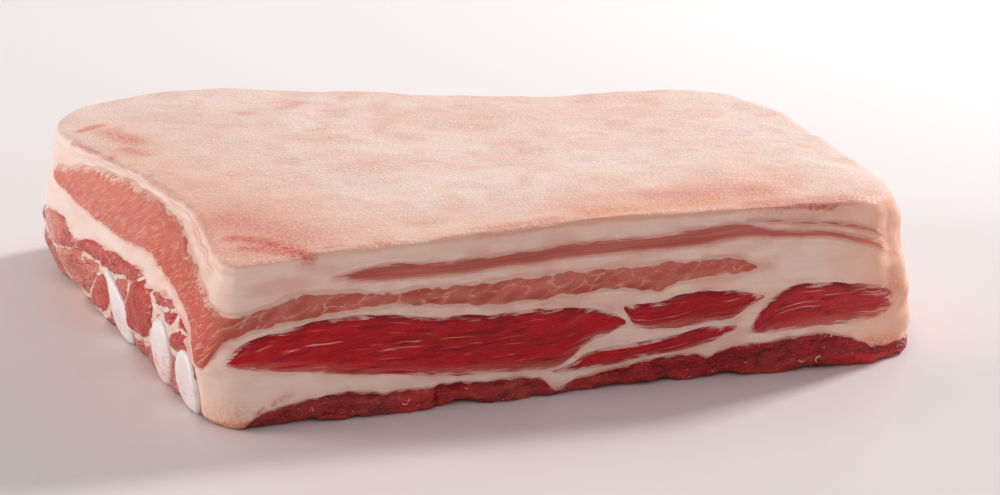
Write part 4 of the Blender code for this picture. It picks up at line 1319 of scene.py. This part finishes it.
# %% Red muscles
def red_lean(tree):
    flow = add(tree, "ShaderNodeAttribute", attribute_name="flow").outputs["Vector"]
    border = add(tree, "ShaderNodeAttribute", attribute_name="border").outputs["Fac"]
    along, _, over = parts_of(tree, "flow")
    cloud = pattern(tree, flow, (30, 30, 6), 0.38, 0.62)
    strands = pattern(tree, flow, (12, 20, 1.1), 0.38, 0.66, turn=4, detail=3)
    dark = pattern(tree, flow, (9, 20, 1.6), 0.52, 0.7, turn=8, detail=3)
    grain = pattern(tree, flow, (0.9, 2, 0.5), 0.35, 0.7, detail=3)
    where_fat = both(tree, pattern(tree, flow, (20, 40, 6), 0.52, 0.64), between(tree, along, 200, 150))
    marbling = pattern(tree, flow, (11, 24, 0.9), 0.58, 0.72, turn=7, detail=2.0)
    long_streaks = pattern(tree, flow, (26, 40, 0.9), 0.64, 0.73, turn=2, detail=2.0)
    near = between(tree, border, 3.5, 0.0)
    top_edge = both(tree, near, between(tree, over, 0.0, 4.0))
    low_edge = both(tree, between(tree, border, 5.5, 0.0), between(tree, over, 0.0, -4.0),
                    pattern(tree, flow, (20, 20, 1.4), 0.25, 0.6))
    teeth = pattern(tree, flow, (6, 9, 0.55), 0.3, 0.7)
    at_ends = pattern(tree, flow, (12, 20, 4), 0.4, 0.6)
    feathers = pattern(tree, flow, (14, 14, 0.8), 0.4, 0.62, detail=2)
    right_tip = between(tree, along, 230, 241)
    colour = coats(tree, shade("#cc1c28"),
                   (cloud, "#b21823"), (between(tree, along, 75, 5), 0.75, "#da0c18"),
                   (between(tree, along, 185, 235), 0.6, "#cf4a4b"),
                   (strands, 0.4, "#ca3942"), (dark, 0.6, "#7c131f"),
                   (grain, 0.35, "#85151f"), (top_edge, 0.75, "#80141f"),
                   (low_edge, 0.75, "#d0796d"),
                   (marbling, where_fat, 0.85, "#eab5a6"), (long_streaks, 0.75, "#eab5a6"),
                   (ragged(tree, border, teeth, 1.4, 0.4), at_ends, "#e6b5a8"),
                   (ragged(tree, border, feathers, 4.0, 0.9), right_tip, 0.85, "#e6a190"))
    return {"Base Color": colour, "Subsurface Scale": clear_inside(tree, border, 0.0015),
            "Roughness": add(tree, "ShaderNodeMapRange", {0: strands, 3: 0.24, 4: 0.42}).outputs[0],
            "Normal": relief(tree, 0.35, (strands, 0.5), (grain, 0.3), (marbling, 0.3), (dark, -0.3))}


RED_LEAN = {**LEAN, "Subsurface_Weight": 0.3, "Subsurface_Radius": (1.0, 0.2, 0.15)}
red = finish_of("raw red pork lean", red_lean, **RED_LEAN)

# %% [markdown]
# ## Inner muscle
#
# The innermost lean was pulled off the ribs, not cut, and its skin has dried darker. On the
# front it is a glossy brown red strip with lumps and torn threads. On the rib side its
# bundles show, from dark red to pink, in white seams.

# %% Inner muscle
def inner_lean(tree):
    flow = add(tree, "ShaderNodeAttribute", attribute_name="flow").outputs["Vector"]
    along, deep, over = parts_of(tree, "flow")
    border = add(tree, "ShaderNodeAttribute", attribute_name="border").outputs["Fac"]
    side = parts_of(tree, "place")[0]
    inside, paleness, redness = parts_of(tree, "bundle")
    front = between(tree, side, 1.0, 0.0)
    cloud = pattern(tree, flow, (14, 20, 7), 0.38, 0.64)
    bruise = pattern(tree, flow, (6, 8, 4), 0.5, 0.7, detail=3)
    low_half = both(tree, between(tree, over, 1.0, -3.0), pattern(tree, flow, (18, 20, 3), 0.4, 0.6))
    high_half = both(tree, between(tree, over, -1.0, 3.0), pattern(tree, flow, (24, 20, 3.5), 0.38, 0.58))
    right_tip = both(tree, between(tree, along, 222, 236), between(tree, deep, 30, 5))
    dried_end = both(tree, between(tree, along, 222, 240), between(tree, deep, 10, 40))
    not_left = between(tree, along, 15, 115)
    to_right = between(tree, along, 95, 185)
    knobs = cells(tree, flow, (17, 20, 9), 0.1, 0.7, kind="F1")
    # Painted shade: the fold lines are sunk by the bump and painted dark red in the creases.
    folds_and_painted_shade = both(tree, cells(tree, flow, (17, 20, 9), 0.1, 0.0), pattern(tree, flow, (9, 9, 5), 0.42, 0.58))
    veils = pattern(tree, flow, (5, 9, 1.6), 0.56, 0.72, turn=20, detail=3)
    flecks = pattern(tree, flow, (1.5, 3, 0.7), 0.68, 0.75, turn=20)
    fine = pattern(tree, flow, (1.6, 3, 0.6), 0.35, 0.7, detail=3)
    teeth = pattern(tree, flow, (3.5, 4, 1.4), 0.3, 0.7, detail=2)
    broad = pattern(tree, flow, (34, 30, 14), 0.42, 0.6)
    body = coats(tree, shade("#de3733"),
                 (broad, "#b8433a"), (cloud, not_left, "#a81c21"), (cloud, 0.45, "#a8241f"),
                 (to_right, 0.5, "#b3141d"), (right_tip, 0.8, "#dc2c36"),
                 (low_half, 0.6, "#e0532f"), (high_half, 0.55, "#7d1720"),
                 (dried_end, 0.75, "#7c2420"),
                 (bruise, 0.75, "#651216"), (fine, 0.25, "#c4453e"),
                 (folds_and_painted_shade, 0.35, "#5e1317"), (veils, 0.4, "#c8665b"), (flecks, 0.8, "#e6ab9f"))
    strokes = pattern(tree, flow, (4, 1.0, 3.5), 0.46, 0.68, lean=40, detail=3)
    swirl = add(tree, "ShaderNodeMath", {0: pattern(tree, flow, (6, 9, 3), 0.3, 0.7), 1: 2.0, 2: inside},
                operation="MULTIPLY_ADD").outputs[0]
    rings = add(tree, "ShaderNodeMath", {0: swirl, 1: 1.3}, operation="PINGPONG").outputs[0]
    bundle = coats(tree, shade("#c23829"),
                   (paleness, "#e08572"), (redness, 0.85, "#c3181b"),
                   (between(tree, rings, 0.8, 1.25), 0.45, "#a0302d"),
                   (between(tree, rings, 1.0, 1.28), paleness, "#8e2426"),
                   (strokes, 0.16, "#eaa595"), (cloud, 0.4, "#b03a28"))
    seam_noise = pattern(tree, flow, (5, 5, 4), 0.3, 0.7)
    outside = add(tree, "ShaderNodeMath", {0: inside, 1: -1.0}, operation="MULTIPLY").outputs[0]
    seam = both(tree, ragged(tree, inside, seam_noise, 0.75, 0.35), between(tree, outside, 3.2, 2.2))
    between_bundles = between(tree, outside, 2.2, 3.2)
    bundle = coats(tree, bundle,
                   (between(tree, deep, 140, 172, 0.4), "#f0b2a2"), (between_bundles, "#b8564a"),
                   (between_bundles, strokes, "#e0a090"), (seam, "#f4d6c8"))
    colour = coats(tree, body, (side, bundle),
                   (ragged(tree, border, teeth, 0.8, 0.5), front, "#dfa093"),
                   (ragged(tree, border, teeth, 0.4, 0.4), side, "#f4d6c8"))
    return {"Base Color": colour, "Subsurface Scale": clear_inside(tree, border, 0.0015),
            "Roughness": add(tree, "ShaderNodeMapRange", {0: fine, 3: 0.14, 4: 0.34}).outputs[0],
            "Normal": relief(tree, 1.4, (fine, 0.05), (fine, front, 0.15), (knobs, front, -0.8),
                             (folds_and_painted_shade, front, -0.4), (veils, 0.3), (side, seam, -0.3))}


inner = finish_of("raw inner rib muscle", inner_lean, **{**RED_LEAN, "Specular_IOR_Level": 0.4})

# %% [markdown]
# ## Rib ends
#
# The rib ends are gristle over bone: bluish white, smooth and waxy, wet with a little pink
# towards the bottom, where blood ran down and gathered.

# %% Ribs
def gristle(tree):
    where = place_in_mm(tree)
    stain = add(tree, "ShaderNodeAttribute", attribute_name="stain").outputs["Fac"]
    cloud = pattern(tree, where, (9, 9, 9), 0.4, 0.65)
    veins = pattern(tree, where, (4, 4, 1.6), 0.5, 0.68, detail=4)
    colour = coats(tree, shade("#faf6f6"),
                   (cloud, 0.6, "#efe2e1"), (stain, veins, "#e08d86"),
                   (stain, 0.35, "#f0b2aa"))
    return {"Base Color": colour, "Normal": relief(tree, 0.15, (cloud, 0.6), (veins, 0.4))}


gristle_and_bone = finish_of("rib gristle and bone", gristle, IOR=1.5, Roughness=0.34, Subsurface_Weight=0.3,
                             Subsurface_Radius=(1.0, 0.6, 0.5), Subsurface_Scale=0.002)

# %% [markdown]
# ## Sinew
#
# The torn bits are sinew and crumbs of fat, cream white and wet, so they catch small lights.

# %% Sinew bits
def sinew_paint(tree):
    where = place_in_mm(tree)
    blood = pattern(tree, where, (9, 9, 5), 0.42, 0.58)
    return {"Base Color": coats(tree, shade("#f0cfc0"), (blood, "#c9655a"))}


sinew = finish_of("wet sinew", sinew_paint, IOR=1.42, Roughness=0.25, Subsurface_Weight=0.3,
                  Subsurface_Radius=(1.0, 0.5, 0.4), Subsurface_Scale=0.0005)

# %% [markdown]
# ## Dress the model
#
# Each fine piece takes the place of its solid, rides on the one body that the slab is,
# and takes its finish.

# %% Finishes and places
FINISHES = {"fat_and_rind": rind_and_fat, "skin_muscle": skin, "skin_muscle_upper": skin,
            "pale_muscle": pale, "inner_muscle": inner, "sinew_bits": sinew}
SHARP = math.radians(55)

for name, piece in pieces.items():
    finish = FINISHES.get(name, red if name in RED else gristle_and_bone)
    piece.data.materials.clear()
    piece.data.materials.append(finish)
    piece.data.shade_smooth()
    piece.data.set_sharp_from_angle(angle=SHARP)
    if name in SHEETS or name in RIBS or name == "fat_and_rind":
        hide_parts(name)
    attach(piece, "root")

# %% [markdown]
# ## Table, light and camera
#
# A pale table under plain studio light. One soft window stands behind and to the right,
# so the rind is the brightest side and the shadow falls to the left and the front. The
# cut front lies in that shade and gets its light from pale walls at the left and in front.

# %% Table
VIEW_TURN = math.radians(18)  # how far the view is turned from straight at the front
floor_mesh = bpy.data.meshes.new("table")
floor_mesh.from_pydata([(-3, -3, 0), (3, -3, 0), (3, 3, 0), (-3, 3, 0)], [], [(0, 1, 2, 3)])
floor = bpy.data.objects.new("table", floor_mesh)
bpy.context.collection.objects.link(floor)


def table_with_painted_light(tree):
    """Paler with the distance from the front: painted light, brighter towards the back."""
    where = add(tree, "ShaderNodeTexCoord").outputs["Object"]
    back = add(tree, "ShaderNodeVectorMath", {0: where, 1: (math.sin(VIEW_TURN), math.cos(VIEW_TURN), 0)},
               operation="DOT_PRODUCT").outputs["Value"]
    # Painted light: the table is painted paler towards the back.
    return {"Base Color": coats(tree, shade("#e3dad9"), (between(tree, back, -0.45, 0.6), "#f6f2f3"))}


floor_mesh.materials.append(finish_of("white table", table_with_painted_light, IOR=1.45, Roughness=0.4))

# %% Camera
VIEW_DOWN = math.radians(17.5)
AWAY = 1.159  # metres from the slab's middle
ASIDE = 0.0137  # and how far right of it and below it the camera looks
LOWER = 0.0114
right = Vector((math.cos(VIEW_TURN), -math.sin(VIEW_TURN), 0))
ahead = Vector((math.sin(VIEW_TURN) * math.cos(VIEW_DOWN), math.cos(VIEW_TURN) * math.cos(VIEW_DOWN),
                -math.sin(VIEW_DOWN)))
over = right.cross(ahead)
camera = bpy.data.objects.new("camera", bpy.data.cameras.new("camera"))
bpy.context.collection.objects.link(camera)
camera.data.lens = 108
camera.data.sensor_width = 36
turned = Matrix((right, over, -ahead)).transposed().to_4x4()
turned.translation = (low + high) / 2 - ahead * AWAY + right * ASIDE - over * LOWER
camera.matrix_world = turned
bpy.context.scene.camera = camera


# %% Light
def soft_light(name, azimuth, elevation, distance, width, tall, watts, colour="#ffffff"):
    """An area light aimed at the slab; azimuth is turned right from the way the camera looks."""
    turn = VIEW_TURN + math.radians(azimuth)
    rise = math.radians(elevation)
    way = Vector((math.sin(turn) * math.cos(rise), math.cos(turn) * math.cos(rise), math.sin(rise)))
    lamp = bpy.data.lights.new(name, "AREA")
    lamp.shape = "RECTANGLE"
    lamp.size = width
    lamp.size_y = tall
    lamp.energy = watts
    lamp.color = shade(colour)[:3]
    made = bpy.data.objects.new(name, lamp)
    bpy.context.collection.objects.link(made)
    made.location = (low + high) / 2 + way * distance
    made.rotation_euler = (-way).to_track_quat("-Z", "Y").to_euler()
    return made


soft_light("window behind and right", 53, 32, 1.8, 0.3, 0.3, 27)
soft_light("pale wall at the left", -85, 18, 1.8, 0.8, 0.8, 15.5, "#fff2ed")
soft_light("pale wall in front", 180, 40, 1.8, 1.0, 1.0, 3)
world = bpy.data.worlds.new("studio")
world.use_nodes = True
world.node_tree.nodes["Background"].inputs[0].default_value = shade("#fdf9f8")
world.node_tree.nodes["Background"].inputs[1].default_value = 0.43
bpy.context.scene.world = world
bpy.context.scene.view_settings.view_transform = "Standard"
